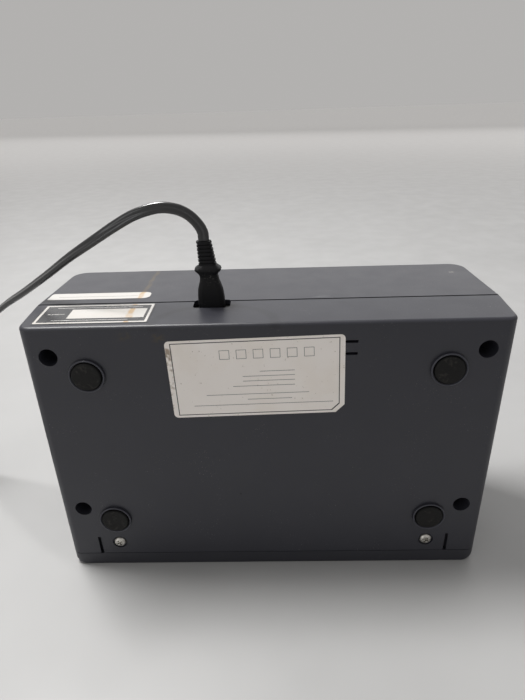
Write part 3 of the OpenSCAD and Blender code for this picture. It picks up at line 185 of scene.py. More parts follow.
class Finish:
    """A node material under construction. Its coordinates are metres in the row's frame."""

    def __init__(self, name, color, roughness, metallic=0.0, **sockets):
        self.material = bpy.data.materials.new(name)
        self.material.use_nodes = True
        self.tree = self.material.node_tree
        self.shader = self.tree.nodes["Principled BSDF"]
        self.color = (*color, 1.0)
        self.shader.inputs["Base Color"].default_value = self.color
        self.shader.inputs["Roughness"].default_value = roughness
        self.shader.inputs["Metallic"].default_value = metallic
        for key, value in sockets.items():
            self.shader.inputs[key.replace("_", " ")].default_value = value
        self.where = self.add("ShaderNodeTexCoord").outputs["Object"]
        parts = self.add("ShaderNodeSeparateXYZ", {"Vector": self.where})
        self.x, self.y, self.z = parts.outputs

    def add(self, kind, inputs=None, **settings):
        node = self.tree.nodes.new(kind)
        for key, value in settings.items():
            setattr(node, key, value)
        for key, value in (inputs or {}).items():
            self.feed(node.inputs[key], value)
        return node

    def feed(self, socket, value):
        if isinstance(value, bpy.types.NodeSocket):
            self.tree.links.new(value, socket)
        else:
            socket.default_value = value

    def math(self, operation, a, b=0.0):
        return self.add("ShaderNodeMath", {0: a, 1: b}, operation=operation).outputs[0]

    def noise(self, scale, detail=2.0, rough=0.5, stretch=(1, 1, 1)):
        where = self.add("ShaderNodeMapping", {"Vector": self.where, "Scale": stretch}).outputs[0]
        inputs = {"Vector": where, "Scale": scale, "Detail": detail, "Roughness": rough}
        return self.add("ShaderNodeTexNoise", inputs).outputs["Fac"]

    def span(self, value, low, high, to_low=0.0, to_high=1.0):
        """Smooth step of value from low to high."""
        inputs = {"Value": value, "From Min": low, "From Max": high, "To Min": to_low, "To Max": to_high}
        node = self.add("ShaderNodeMapRange", inputs, interpolation_type="SMOOTHSTEP")
        return node.outputs["Result"]

    def blend(self, factor, a, b):
        node = self.add("ShaderNodeMix", data_type="RGBA")
        for index, value in ((0, factor), (6, a), (7, b)):
            self.feed(node.inputs[index], value)
        return node.outputs[2]

    def near(self, value, center, full, none):
        """1 where value is within full of center, falling to 0 at none."""
        off = self.math("ABSOLUTE", self.math("SUBTRACT", value, center))
        return self.span(off, none, full)

    def product(self, *factors):
        total = factors[0]
        for one in factors[1:]:
            total = self.math("MULTIPLY", total, one)
        return total

    def paint(self, factor, color):
        """Lays a colour over what is there."""
        under = self.shader.inputs["Base Color"]
        base = under.links[0].from_socket if under.links else self.color
        mixed = self.blend(factor, base, (*color, 1.0))
        self.feed(under, mixed)

    def roughen(self, value, low, high):
        """Roughness from low to high with value."""
        self.feed(self.shader.inputs["Roughness"], self.span(value, 0.25, 0.75, low, high))

    def bump(self, height, distance, strength=1.0):
        inputs = {"Height": height, "Distance": distance, "Strength": strength}
        under = self.shader.inputs["Normal"]
        if under.links:
            inputs["Normal"] = under.links[0].from_socket
        self.feed(under, self.add("ShaderNodeBump", inputs).outputs["Normal"])


def plastic(name, color, roughness, grain=2600, depth=0.00003, mottle=0.12, dust=0.0, polish=0.07,
            **sockets):
    """Moulded plastic: fine grain, slow changes of tone and a little dust."""
    f = Finish(name, color, roughness, **sockets)
    slow = f.noise(22, 3)
    f.paint(f.span(slow, 0.35, 0.75, 0, 1), [c * (1 + mottle) for c in color])
    f.roughen(f.noise(60, 4), roughness - 0.7 * polish, roughness + polish)
    if dust:
        specks = f.span(f.noise(1500, 1), 0.70, 0.80)
        f.paint(f.product(specks, f.span(f.noise(40, 2), 0.45, 0.7, 0, dust)), (0.35, 0.34, 0.32))
    f.bump(f.noise(grain, 2), depth)
    return f


def metal(name, color, roughness, stretch=(1, 1, 1), tarnish=0.3):
    """Metal with fine drawn lines or grain and dull patches."""
    f = Finish(name, color, roughness, metallic=1.0)
    f.paint(f.span(f.noise(180, 4), 0.5, 0.8, 0, tarnish), [c * 0.45 for c in color])
    f.roughen(f.noise(900, 3, stretch=stretch), roughness - 0.06, roughness + 0.12)
    f.bump(f.noise(2200, 2, stretch=stretch), 0.00002)
    return f


CHARCOAL = (0.0254, 0.0260, 0.0340)
RUN_X = -0.0780
FOOT_X, FOOT_Z = 103.8, {"front": 41.8, "rear": 151.3}


def housing_finish(name, color):
    """Satin charcoal moulding with handling marks, scratches, dust and the brown run down the rear, with
    painted shade along the parting groove and a darker arc below the inlet.
    """
    f = plastic(name, color, 0.42, mottle=0.06, dust=0.5, polish=0.025)
    rear = f.span(f.z, 0.1765, 0.1800)
    underside = f.span(f.y, -0.0480, -0.0490)
    wobble = f.math("MULTIPLY", f.math("SUBTRACT", f.noise(90, 2), 0.5), 0.004)
    across = f.math("ADD", f.x, wobble)
    upper = f.span(f.y, -0.0100, -0.0060)
    streaks = f.span(f.noise(130, 3), 0.34, 0.55, 0.25, 0.8)
    run = f.product(f.near(across, RUN_X, 0.0006, 0.0019), rear, upper, streaks)
    f.paint(run, (0.072, 0.055, 0.034))
    for x, z in ((-0.0787, 0.1755), (-0.0601, 0.1742)):
        spot = f.product(f.near(f.x, x, 0.001, 0.005), f.near(f.z, z, 0.0008, 0.0035), underside)
        f.paint(f.product(spot, f.span(f.noise(400, 3), 0.35, 0.7, 0.0, 0.7)), (0.07, 0.05, 0.02))
    speck = f.product(
        f.near(f.x, -0.0190, 0.0003, 0.0008), f.near(f.z, 0.0620, 0.0003, 0.0009), underside)
    f.paint(speck, (0.004, 0.004, 0.004))
    chip = f.product(f.near(f.x, 0.1253, 0.0008, 0.0022), f.near(f.y, 0.0305, 0.0005, 0.0020), rear)
    f.paint(f.product(chip, f.span(f.noise(700, 2), 0.4, 0.6, 0.1, 0.8)), (0.30, 0.28, 0.25))
    scratch = f.span(f.noise(260, 2, stretch=(0.12, 1, 1)), 0.735, 0.76)
    f.paint(f.product(scratch, f.span(f.noise(30, 2), 0.5, 0.65, 0, 0.35)), (0.16, 0.16, 0.17))
    rubbed = f.span(f.noise(14, 5, 0.65), 0.52, 0.72, 0, 0.10)
    f.paint(rubbed, [c * 1.5 for c in color])
    # Painted shade: a near-black line along the parting groove between the shells
    f.paint(f.near(f.y, PARTING_Y * MM, 0.0003, 0.0006), (0.003, 0.003, 0.003))
    # A darker arc painted on the rear face below the inlet
    wide = f.math("POWER", f.math("DIVIDE", f.math("ADD", f.x, 0.0285), 1.45), 2.0)
    tall = f.math("POWER", f.math("ADD", f.y, 0.0475), 2.0)
    arc_distance = f.math("POWER", f.math("ADD", wide, tall), 0.5)
    low = f.span(f.y, -0.0150, -0.0210, 0, 0.45)
    f.paint(f.product(f.near(arc_distance, 0.0235, 0.0008, 0.0030), rear, low), [c * 0.5 for c in color])
    return f.material


housing = housing_finish("charcoal_housing", CHARCOAL)
# The foot rings' lips: the housing's charcoal painted paler, as a painted highlight
lip_highlight = plastic("charcoal_lip_highlight", [c * 1.7 for c in CHARCOAL], 0.36, dust=0.2).material
# The bezel is the housing's charcoal painted darker, as painted shade
bezel = plastic("charcoal_bezel_shaded", [c * 0.82 for c in CHARCOAL], 0.44, dust=0.3).material
panel = plastic("panel_grey", (0.52, 0.53, 0.52), 0.45, mottle=0.03, dust=0.2).material
black_plastic = plastic("black_plastic", (0.018, 0.018, 0.019), 0.45, dust=0.2).material
knob_plastic = plastic("knob_plastic", (0.014, 0.014, 0.015), 0.5, grain=1800, dust=0.2).material
red_gloss = plastic("rocker_red", (0.30, 0.012, 0.010), 0.22, depth=0.00001, Coat_Weight=0.3).material
button_grey = plastic("button_grey", (0.42, 0.43, 0.42), 0.32, mottle=0.04).material
nylon = plastic("natural_nylon", (0.62, 0.59, 0.50), 0.38, mottle=0.06, Subsurface_Weight=0.15).material
lamp_green = plastic("lamp_green", (0.05, 0.22, 0.04), 0.2, Transmission_Weight=0.3).material


def rubber_finish(name, color, roughness, dust):
    f = plastic(name, color, roughness, grain=1400, depth=0.00006, mottle=0.2, Specular_IOR_Level=0.22)
    specks = f.span(f.noise(1100, 2), 0.60, 0.72)
    f.paint(f.product(specks, f.span(f.noise(70, 3), 0.45, 0.7, 0, dust)), (0.25, 0.24, 0.22))
    return f.material


def foot_finish():
    """Black rubber whose outer face is painted paler than its edge and walls, which stay near black as
    painted shade around the foot; the face is also scuffed.
    """
    f = plastic(
        "foot_rubber", (0.0015, 0.0015, 0.0015), 0.6, grain=1400, depth=0.00008, Specular_IOR_Level=0.2)
    aside = f.math("SUBTRACT", f.math("ABSOLUTE", f.x), FOOT_X * MM)
    along = f.math("MINIMUM", f.math("ABSOLUTE", f.math("SUBTRACT", f.z, FOOT_Z["front"] * MM)),
                   f.math("ABSOLUTE", f.math("SUBTRACT", f.z, FOOT_Z["rear"] * MM)))
    away = f.math("SQRT", f.math("ADD", f.math("POWER", aside, 2.0), f.math("POWER", along, 2.0)))
    # Painted shade: the walls and edge stay near black, only the outer face is painted paler
    face = f.product(f.span(away, 0.0086, 0.0081), f.span(f.y, -0.0512, -0.0517))
    f.paint(face, (0.0095, 0.0093, 0.0090))
    scuff = f.product(
        face, f.span(f.noise(420, 3), 0.50, 0.62), f.span(f.noise(120, 2), 0.5, 0.65, 0, 0.55))
    f.paint(scuff, (0.040, 0.037, 0.033))
    f.bump(f.noise(520, 1), 0.00012)
    return f.material


foot_rubber = foot_finish()
soft_rubber = rubber_finish("soft_rubber", (0.02, 0.02, 0.02), 0.7, 0.3)


def cord_finish():
    """Smooth black sheath under a glossy coat, with faint dust."""
    f = Finish("cord_sheath", (0.003, 0.003, 0.004), 0.3,
               Specular_IOR_Level=0.4, Coat_Weight=0.9, Coat_Roughness=0.20)
    f.paint(f.span(f.noise(700, 2), 0.62, 0.75, 0, 0.2), (0.08, 0.08, 0.08))
    f.roughen(f.noise(120, 3), 0.24, 0.36)
    f.bump(f.noise(900, 2), 0.00002)
    return f.material


cord_black = cord_finish()
moulded_black = rubber_finish("moulded_black", (0.004, 0.004, 0.005), 0.5, 0.25)
steel = metal("steel", (0.42, 0.43, 0.45), 0.34, stretch=(1, 6, 1)).material
brass = metal("brass", (0.72, 0.50, 0.22), 0.28, stretch=(1, 5, 1)).material
aluminium = metal("cast_aluminium", (0.55, 0.56, 0.57), 0.42).material
cast_grey = metal("cast_grey", (0.30, 0.31, 0.32), 0.5).material


def zinc_finish():
    f = metal("zinc_screw", (0.60, 0.58, 0.54), 0.33)
    # Painted shade: the parts of the screws lying more than about a millimetre in from the underside's
    # face are painted darker
    low = f.span(f.y, -0.0497, -0.0487, 1, 0)
    f.paint(f.product(f.span(f.noise(520, 3), 0.50, 0.70), 0.45), (0.16, 0.15, 0.13))
    f.paint(f.product(f.math("SUBTRACT", 1.0, low), 0.5), (0.05, 0.045, 0.04))
    return f.material


zinc = zinc_finish()


def glass_finish(name, color, roughness):
    f = Finish(name, color, roughness, IOR=1.49, Transmission_Weight=1.0, Alpha=0.35)
    f.roughen(f.noise(300, 3), roughness, roughness + 0.05)
    return f.material


clear = glass_finish("gauge_glass", (0.93, 0.95, 0.95), 0.03)
tubing = plastic("soft_tubing", (0.55, 0.57, 0.54), 0.28, mottle=0.05, Subsurface_Weight=0.2).material


def board_finish():
    f = plastic("board_green", (0.02, 0.12, 0.045), 0.35, mottle=0.1)
    tracks = f.span(f.noise(260, 0, stretch=(1, 1, 4)), 0.48, 0.50)
    f.paint(f.product(tracks, 0.5), (0.05, 0.22, 0.08))
    return f.material


board_green = board_finish()


def winding_finish():
    f = Finish("copper_winding", (0.30, 0.11, 0.04), 0.32, metallic=0.4)
    turns = f.add("ShaderNodeTexWave", {"Vector": f.where, "Scale": 900.0}, bands_direction="X")
    wave = turns.outputs["Fac"]
    f.paint(f.span(wave, 0.2, 0.9, 0, 0.5), (0.12, 0.04, 0.015))
    f.bump(wave, 0.0001)
    return f.material


winding = winding_finish()
wire_brown = plastic("wire_sheath", (0.16, 0.10, 0.05), 0.4).material
dial_white = plastic("dial_white", (0.80, 0.80, 0.76), 0.5, mottle=0.03).material
ink = plastic("black_ink", (0.02, 0.02, 0.022), 0.55, mottle=0.1).material
white_ink = plastic("white_ink", (0.78, 0.77, 0.74), 0.5, mottle=0.05).material
grey_ink = plastic("faded_ink", (0.15, 0.14, 0.135), 0.6, mottle=0.2).material


def label_finish(name, color, stain_x, run):
    """Printed film, yellowed a little, with the brown run or a dirty edge."""
    f = plastic(name, color, 0.36, grain=1200, depth=0.00001, mottle=0.03)
    yellowed = [color[0] * 0.86, color[1] * 0.80, color[2] * 0.70]
    f.paint(f.span(f.noise(35, 4), 0.45, 0.8, 0, 0.35), yellowed)
    if run:
        wobble = f.math("MULTIPLY", f.math("SUBTRACT", f.noise(120, 2), 0.5), 0.003)
        mask = f.near(f.math("ADD", f.x, wobble), stain_x, 0.0008, 0.0022)
        f.paint(f.product(mask, f.span(f.noise(200, 3), 0.3, 0.6, 0.35, 0.9)), (0.43, 0.29, 0.15))
    else:
        edge = f.product(f.near(f.x, stain_x, 0.0006, 0.0030), f.span(f.noise(210, 4), 0.46, 0.62))
        f.paint(f.product(edge, 0.75), (0.20, 0.12, 0.05))
    specks = f.span(f.noise(650, 2), 0.70, 0.76, 0, 0.5)
    f.paint(specks, (0.30, 0.24, 0.17))
    return f.material


cream = label_finish("label_cream", (0.88, 0.83, 0.785), -0.0555, False)
strip_white = label_finish("label_white", (0.50, 0.485, 0.465), -0.0783, True)
label_black = plastic("label_black", (0.028, 0.028, 0.030), 0.3, depth=0.00001).material

# ---------------------------------------------------------------- the carried-over nodes

NODE_FINISH = {
    "base_shell": housing,
    "top_cover": housing,
    "front_bezel": bezel,
    "fascia": panel,
    "foot_rear_left": foot_rubber,
    "foot_rear_right": foot_rubber,
    "foot_front_left": foot_rubber,
    "foot_front_right": foot_rubber,
    "case_screws": zinc,
    "bezel_screws": zinc,
    "rocker_frame": black_plastic,
    "power_rocker": red_gloss,
    "pressure_knob": knob_plastic,
    "regulator_stem": steel,
    "regulator_body": nylon,
    "gauge_case": black_plastic,
    "gauge_dial": dial_white,
    "gauge_needle": ink,
    "gauge_lens": clear,
    "run_button": button_grey,
    "hold_button": button_grey,
    "run_spring": steel,
    "hold_spring": steel,
    "button_board": board_green,
    "indicator_lamps": lamp_green,
    "nozzle_1": nylon,
    "nozzle_2": nylon,
    "nozzle_3": nylon,
    "nozzle_4": nylon,
    "nozzle_nuts": steel,
    "inlet_socket": black_plastic,
    "inlet_pins": brass,
    "power_board": board_green,
    "board_screws": zinc,
    "fuse": clear,
    "wiring": wire_brown,
    "compressor_case": aluminium,
    "compressor_lid": aluminium,
    "compressor_heads": cast_grey,
    "compressor_coils": winding,
    "compressor_armature": steel,
    "compressor_diaphragms": soft_rubber,
    "compressor_mounts": soft_rubber,
    "valve_motor": steel,
    "valve_body": nylon,
    "valve_rotor": black_plastic,
    "valve_cap": nylon,
    "pressure_hoses": tubing,
    "supply_hose": tubing,
    "outlet_hoses": tubing,
    "cord_connector": moulded_black,
    "strain_relief": moulded_black,
    "cord_lead": cord_black,
    "cord_coil": cord_black,
    "cord_tail": cord_black,
    "cord_tie": black_plastic,
    "wall_plug": moulded_black,
    "plug_relief": moulded_black,
    "plug_blades": brass,
}


def smooth_group():
    """Geometry nodes that shade smooth, but keep edges sharper than 32 degrees crisp."""
    group = bpy.data.node_groups.new("smooth_by_angle", "GeometryNodeTree")
    group.interface.new_socket("Geometry", in_out="INPUT", socket_type="NodeSocketGeometry")
    group.interface.new_socket("Geometry", in_out="OUTPUT", socket_type="NodeSocketGeometry")
    new, link = group.nodes.new, group.links.new
    start, end = new("NodeGroupInput"), new("NodeGroupOutput")
    faces, edges = new("GeometryNodeSetShadeSmooth"), new("GeometryNodeSetShadeSmooth")
    faces.domain, edges.domain = "FACE", "EDGE"
    angle, test = new("GeometryNodeInputMeshEdgeAngle"), new("FunctionNodeCompare")
    test.operation = "LESS_EQUAL"
    test.inputs[1].default_value = math.radians(32)
    link(start.outputs[0], faces.inputs["Geometry"])
    link(faces.outputs[0], edges.inputs["Geometry"])
    link(angle.outputs["Unsigned Angle"], test.inputs[0])
    link(test.outputs[0], edges.inputs["Shade Smooth"])
    link(edges.outputs[0], end.inputs[0])
    return group


SMOOTH = smooth_group()
BEVELS = {
    "base_shell": 0.35,
    "top_cover": 0.35,
    "front_bezel": 0.35,
    "power_rocker": 0.4,
    "rocker_frame": 0.3,
    "inlet_socket": 0.2,
    "plug_blades": 0.2,
    "wall_plug": 0.3,
}


def add_smoothing(piece, weld=True):
    if weld:
        piece.modifiers.new("weld", "WELD").merge_threshold = 0.000002
    width = BEVELS.get(piece.name)
    if width:
        edge = piece.modifiers.new("edge", "BEVEL")
        edge.width = width * MM
        edge.segments = 2
        edge.limit_method = "ANGLE"
        edge.angle_limit = math.radians(40)
        edge.use_clamp_overlap = True
    group = piece.modifiers.new("smooth", "NODES")
    group.node_group = SMOOTH
    if weld:
        flat = piece.modifiers.new("flat", "WEIGHTED_NORMAL")
        flat.mode = "FACE_AREA"
        flat.weight = 80
        flat.keep_sharp = True


for name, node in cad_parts.items():
    node.data.materials.clear()
    node.data.materials.append(NODE_FINISH[name])
    add_smoothing(node)

# ---------------------------------------------------------------- button springs


def closing_spring(name, node_name):
    """The node's coil once more, as a mesh of its own in place of the hidden node."""
    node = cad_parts[node_name]
    points = [node.matrix_world @ v.co for v in node.data.vertices]
    faces = [tuple(face.vertices) for face in node.data.polygons]
    made = mesh_piece(name, points, faces, steel)
    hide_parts(node_name)
    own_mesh(made)


closing_spring("run_spring_coil", "run_spring")
closing_spring("hold_spring_coil", "hold_spring")

# ---------------------------------------------------------------- cord

CORD_W, CORD_T = 6.4, 3.4
EXIT = (-33.9, -4, 221)
LEAD = [
    (EXIT, (1, 0, 0)),
    ((-33.9, -4, 225), (1, 0, 0)),
    ((-36, -4, 230), (1, 0, 0.4)),
    ((-41, -4, 235.5), (1, 0, 0.8)),
    ((-48, -4, 239), (0.6, 0, 1)),
    ((-58, -4, 240), (0, 0, 1)),
    ((-71, -4, 236.7), (0, 0.1, 1)),
    ((-83.5, -3, 230.4), (0, 0.3, 1)),
    ((-98.5, -1, 221.5), (0, 0.6, 1)),
    ((-115, 2, 211.5), (0, 0.9, 0.9)),
    ((-132, 6, 200), (0, 1, 0.7)),
    ((-150.5, 12, 188), (0, 1, 0.5)),
    ((-170, 20, 176), (0, 1, 0.3)),
    ((-189, 29, 162), (0, 1, 0.1)),
    ((-206, 38, 145), (0, 1, 0)),
    ((-220, 46, 123), (0, 1, 0)),
    ((-231, 52, 99), (0, 1, 0)),
    ((-239, 57, 73), (0, 1, 0)),
    ((-246, 61, 48), (0, 1, 0)),
    ((-253, 64, 26), (0, 1, 0.1)),
    ((-261, 66, 11.5), (0, 1, 0.4)),
    ((-271, 66.5, 5), (0, 0.9, 1)),
]
COIL_AT, COIL_R, COIL_TURNS, COIL_PITCH = (-290, 26), 40.5, 3, 3.9
COIL_Z, COIL_RISE = 4.2, 7.0
COIL_START = (COIL_AT[0] + CORD_W, COIL_AT[1] + COIL_R, COIL_Z)
COIL_END = (COIL_AT[0] - CORD_W, COIL_AT[1] + COIL_R, COIL_Z + COIL_RISE)
TAIL = [
    ((-314, 64, 10), (0, 0.3, 1)),
    ((-325, 58.5, 8), (-0.3, 0.6, 1)),
    ((-334, 50, 6.3), (-0.8, 0.6, 0.9)),
    ((-339.5, 39, 5.6), (-1, 0.1, 0.5)),
    ((-342, 27, 6.4), (-1, 0, 0.1)),
]
PLUG_AT = (-342, 14, 7.5)
# Steps of the path between two rows, and in one turn of the coil
PATH_STEPS, COIL_STEPS = 5, 40


def moved(p, x=0.0, y=0.0, z=0.0):
    return (p[0] + x, p[1] + y, p[2] + z)


def smooth_path(rows, steps):
    """A smooth curve through the rows, straight in its first and last stretch."""
    rows = np.array([(*p, *h) for p, h in rows], float)
    last = len(rows) - 1
    out = []
    for i in range(last):
        a, b, c, d = rows[max(i - 1, 0)], rows[i], rows[i + 1], rows[min(i + 2, last)]
        for k in range(steps):
            u = k / steps
            if i in (0, last - 1):
                out.append(b + (c - b) * u)
            else:
                out.append(0.5 * (2 * b + (c - a) * u + (2 * a - 5 * b + 4 * c - d) * u * u
                                  + (3 * b - a - 3 * c + d) * u ** 3))
    return out + [rows[last]]


def coil_row(u):
    """The coil spirals in on the floor, climbs over half a turn and spirals out above."""
    r = COIL_R - COIL_PITCH * (COIL_TURNS - abs(u - COIL_TURNS))
    climb = min(max((u - COIL_TURNS + 0.25) * 2, 0), 1)
    a = math.radians(90 + 360 * u)
    z = COIL_Z + COIL_RISE * (1 - math.cos(math.pi * climb)) / 2
    return np.array([COIL_AT[0] + r * math.cos(a), COIL_AT[1] + r * math.sin(a), z, 0, 0, 1])


def cord_section():
    """Two round cores side by side with a shallow groove between them, counter-clockwise."""
    lobe, reach = CORD_T / 2, (CORD_W - CORD_T) / 2
    turn = np.radians(np.linspace(-80, 80, 9))
    right = [(reach + lobe * math.cos(t), lobe * math.sin(t)) for t in turn]
    top = [(0.75, 0.955 * lobe), (0.3, 0.86 * lobe), (-0.3, 0.86 * lobe), (-0.75, 0.955 * lobe)]
    return right + top + [(-x, -y) for x, y in right] + [(-x, -y) for x, y in top]


def cord_rings(rows, section):
    p = [Vector(r[:3]) for r in rows]
    rings = []
    for i, row in enumerate(rows):
        t = (p[min(i + 1, len(p) - 1)] - p[max(i - 1, 0)]).normalized()
        hint = Vector(row[3:])
        w = (hint - t * hint.dot(t)).normalized()
        n = t.cross(w)
        rings.append([at(*(p[i] + w * x + n * y)) for x, y in section])
    return rings, [at(*q) for q in p]


lead = smooth_path(
    LEAD + [(moved(COIL_START, CORD_W), (0, 0, 1)), (COIL_START, (0, 0, 1))], PATH_STEPS)
coil = [coil_row(i / COIL_STEPS) for i in range(2 * COIL_TURNS * COIL_STEPS + 1)]
tail = smooth_path([(COIL_END, (0, 0, 1)), (moved(COIL_END, -CORD_W), (0, 0, 1))] + TAIL
                   + [(moved(PLUG_AT, y=4), (-1, 0, 0)), (PLUG_AT, (-1, 0, 0))], PATH_STEPS)
rings, cord_path = cord_rings(lead + coil + tail, cord_section())
cord = mesh_piece("mains_cord", *loft(rings), cord_black, smooth=True)
add_smoothing(cord, weld=False)
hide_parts("cord_lead", "cord_coil", "cord_tail")

# ---------------------------------------------------------------- labels

# Rating label on the underside: film with a printed border, ruled lines and empty fields
under = Sheet(at(-5.7, -33.0, 147.9), (1, 0, 0.0235), (-0.0235, 0, 1))
HALF = (50.7, 25.3)
CUT = 5.2
clipped = [p for p in rounded(-HALF[0], -HALF[1], HALF[0], HALF[1], 2.6)
           if not (p[0] > HALF[0] - CUT + 0.1 and p[1] < -HALF[1] + CUT - 0.1)]
clipped += [(HALF[0] - CUT, -HALF[1]), (HALF[0], -HALF[1] + CUT)]
mesh_piece("rating_label", *under.prism(clipped, *FILM), cream)


def inset_rect(dx, dy, cut):
    """The label's outline with one corner cut off, set in from its edges."""
    w, h = HALF[0] - dx, HALF[1] - dy
    return [(w, h), (-w, h), (-w, -h), (w - cut, -h), (w, cut - h)]


border = under.band(inset_rect(2.9, 1.5, 4.4), inset_rect(3.4, 2.0, 4.4), 0.13, 0.16)
mesh_piece("rating_label_border", *border, ink)
RULES = ((-17.6, -38, 44), (-14.2, -6, 20), (-10.6, -30, 30), (-5.2, -14, 22), (-1.9, -8, 22),
         (1.2, -8, 22), (4.2, 2, 22))
marks = [under.prism(box_outline(u0, v - 0.16, u1, v + 0.16), *PRINT) for v, u0, u1 in RULES]
for u in (30.5 - k * 9.6 for k in range(6)):
    outer = box_outline(u - 2.9, 12.6, u + 2.9, 18.4)
    inner = box_outline(u - 2.6, 12.9, u + 2.6, 18.1)
    marks.append(under.band(outer, inner, *PRINT))
mesh_piece("rating_label_rules", *joined(marks), grey_ink)

# Serial plate on the base's rear face: black film with a white frame and an empty white field
base_rear = Sheet(at(0, 0, CASE_D), (1, 0, 0), (0, 1, BASE_LEAN))
serial = rounded(-132.4, -28.6, -65.7, -1.7, 1.0)
mesh_piece("serial_plate", *base_rear.prism(serial, *FILM), label_black)
serial_print = [
    base_rear.band(
        rounded(-131.6, -27.8, -66.5, -2.5, 0.9), rounded(-130.1, -26.3, -68.0, -4.0, 0.4), 0.13, 0.165),
    base_rear.prism(rounded(-114.2, -21.4, -69.6, -8.8, 0.3), 0.13, 0.165),
]
mesh_piece("serial_plate_field", *joined(serial_print), strip_white)
serial_rules = [base_rear.prism(box_outline(u0, v - 0.14, u1, v + 0.14), *PRINT)
                for v, u0, u1 in ((-6.4, -124, -73), (-23.8, -122, -78), (-15.2, -127, -117))]
mesh_piece("serial_plate_rules", *joined(serial_rules), white_ink)

# Marker strip on the cover's rear face
cover_rear = Sheet(at(0, 0, CASE_D), (1, 0, 0), (0, 1, COVER_LEAN))
strip = (arc(-76.5, 15.6, 4.0, 0, 90, 8) + arc(-135.2, 18.2, 1.4, 90, 180, 4)
         + arc(-135.2, 9.5, 1.4, 180, 270, 4) + arc(-76.5, 12.1, 4.0, 270, 360, 8))
mesh_piece("marker_strip", *cover_rear.prism(strip, *FILM), strip_white)
strip_rule = cover_rear.prism(box_outline(-130.5, 12.6, -80.5, 12.95), *PRINT)
mesh_piece("marker_strip_rule", *strip_rule, grey_ink)

# Rounded lips on the rings around the feet, painted paler than the housing as a painted highlight where
# the rounded rings catch the light


def bead(name, center, radius, thickness, finish, n=72, m=10):
    """A round bead that lies flat around a foot."""
    cx, cy, cz = center
    points, faces = [], []
    for i in range(n):
        a = 2 * math.pi * i / n
        for j in range(m):
            b = 2 * math.pi * j / m
            r = radius + thickness * math.cos(b)
            points.append(at(cx + r * math.cos(a), cy + thickness * math.sin(b), cz + r * math.sin(a)))
            here, ahead, up = i * m, (i + 1) % n * m, (j + 1) % m
            faces.append((here + j, ahead + j, ahead + up, here + up))
    return mesh_piece(name, points, faces, finish, smooth=True)


for side, x in (("left", -FOOT_X), ("right", FOOT_X)):
    for end, z in FOOT_Z.items():
        bead(f"foot_ring_{end}_{side}", (x, -34.35, z), 10.05, 0.45, lip_highlight)

# ---------------------------------------------------------------- print on the panel and the dial

face = Sheet(at(0, 0, 13), (-1, 0, 0), (0, 1, 0))
dial = Sheet(at(90, 22, 19.7), (-1, 0, 0), (0, 1, 0))
# Heights of paint on the panel and the dial
PAINT = (-0.01, 0.04)


def ray_mark(sheet, center, angle, r0, r1, width):
    """A straight mark along a ray, at an angle clockwise from straight up as a reader sees it."""
    a = math.radians(angle)
    along, side = Vector((math.sin(a), math.cos(a))), Vector((math.cos(a), -math.sin(a)))
    c = Vector(center)
    half = width / 2
    ends = ((r0, half), (r0, -half), (r1, -half), (r1, half))
    corners = [c + along * r + side * s for r, s in ends]
    if (corners[1] - corners[0]).cross(corners[2] - corners[1]) < 0:
        corners.reverse()
    return sheet.prism([tuple(q) for q in corners], *PAINT)


def words(name, items, sheet, finish, body="housing", lift=0.03):
    """Numbers set flat on a sheet, as one mesh. Each item is its text, place and height."""
    parts = []
    for text, (u, v), height in items:
        curve = bpy.data.curves.new(name, "FONT")
        curve.body = text
        curve.size = height
        curve.align_x, curve.align_y = "CENTER", "CENTER"
        curve.extrude = 0.02
        holder = bpy.data.objects.new(name + "_text", curve)
        bpy.context.scene.collection.objects.link(holder)
        bpy.context.view_layer.update()
        built = holder.evaluated_get(bpy.context.evaluated_depsgraph_get())
        mesh = bpy.data.meshes.new_from_object(built)
        parts.append(([sheet.point(p.co.x + u, p.co.y + v, p.co.z + lift) for p in mesh.vertices],
                      [tuple(f.vertices) for f in mesh.polygons]))
        bpy.data.objects.remove(holder)
        bpy.data.curves.remove(curve)
        bpy.data.meshes.remove(mesh)
    return mesh_piece(name, *joined(parts), finish, body=body)


SWEEP, SWEEP_START = 270, -135
KNOB_AT = (-28, 22)


def numbers_round(center, radius, height, labels, steps):
    """Numbers on the swept arc, each at its step, for words()."""
    items = []
    for step, text in labels:
        a = math.radians(SWEEP_START + SWEEP * step / steps)
        place = (center[0] + radius * math.sin(a), center[1] + radius * math.cos(a))
        items.append((text, place, height))
    return items


dial_marks = []
for k in range(25):
    start, width = (20.2, 0.5) if k % 4 == 0 else (21.4, 0.28)
    dial_marks.append(ray_mark(dial, (0, 0), SWEEP_START + SWEEP * k / 24, start, 23.2, width))
mesh_piece("dial_ticks", *joined(dial_marks), ink)
pressures = [(k, str(20 * k)) for k in range(7)]
words("dial_numbers", numbers_round((0, 0), 16.6, 3.9, pressures, 6), dial, ink)
circle_out, circle_in = arc(0, 0, 23.7, 90, 450, 71), arc(0, 0, 23.4, 90, 450, 71)
mesh_piece("dial_band", *dial.band(circle_out, circle_in, *PAINT), ink)

knob_marks = []
for k in range(11):
    end = 23.5 if k % 5 == 0 else 22.6
    knob_marks.append(ray_mark(face, KNOB_AT, SWEEP_START + SWEEP * k / 10, 20.5, end, 0.6))
mesh_piece("knob_scale", *joined(knob_marks), ink)
settings = [(k, str(k)) for k in range(0, 11, 2)]
words("knob_numbers", numbers_round(KNOB_AT, 26.6, 4.2, settings, 10), face, ink)
panel_frame = face.band(
    rounded(21.5, 18.4, 126.5, 58.5, 4), rounded(22.1, 19.0, 125.9, 57.9, 3.4), -0.01, 0.03)
mesh_piece("panel_frames", *panel_frame, ink)
words("outlet_numbers", [(str(i + 1), (41 + 22 * i, 14.6), 4.2) for i in range(4)], face, ink)

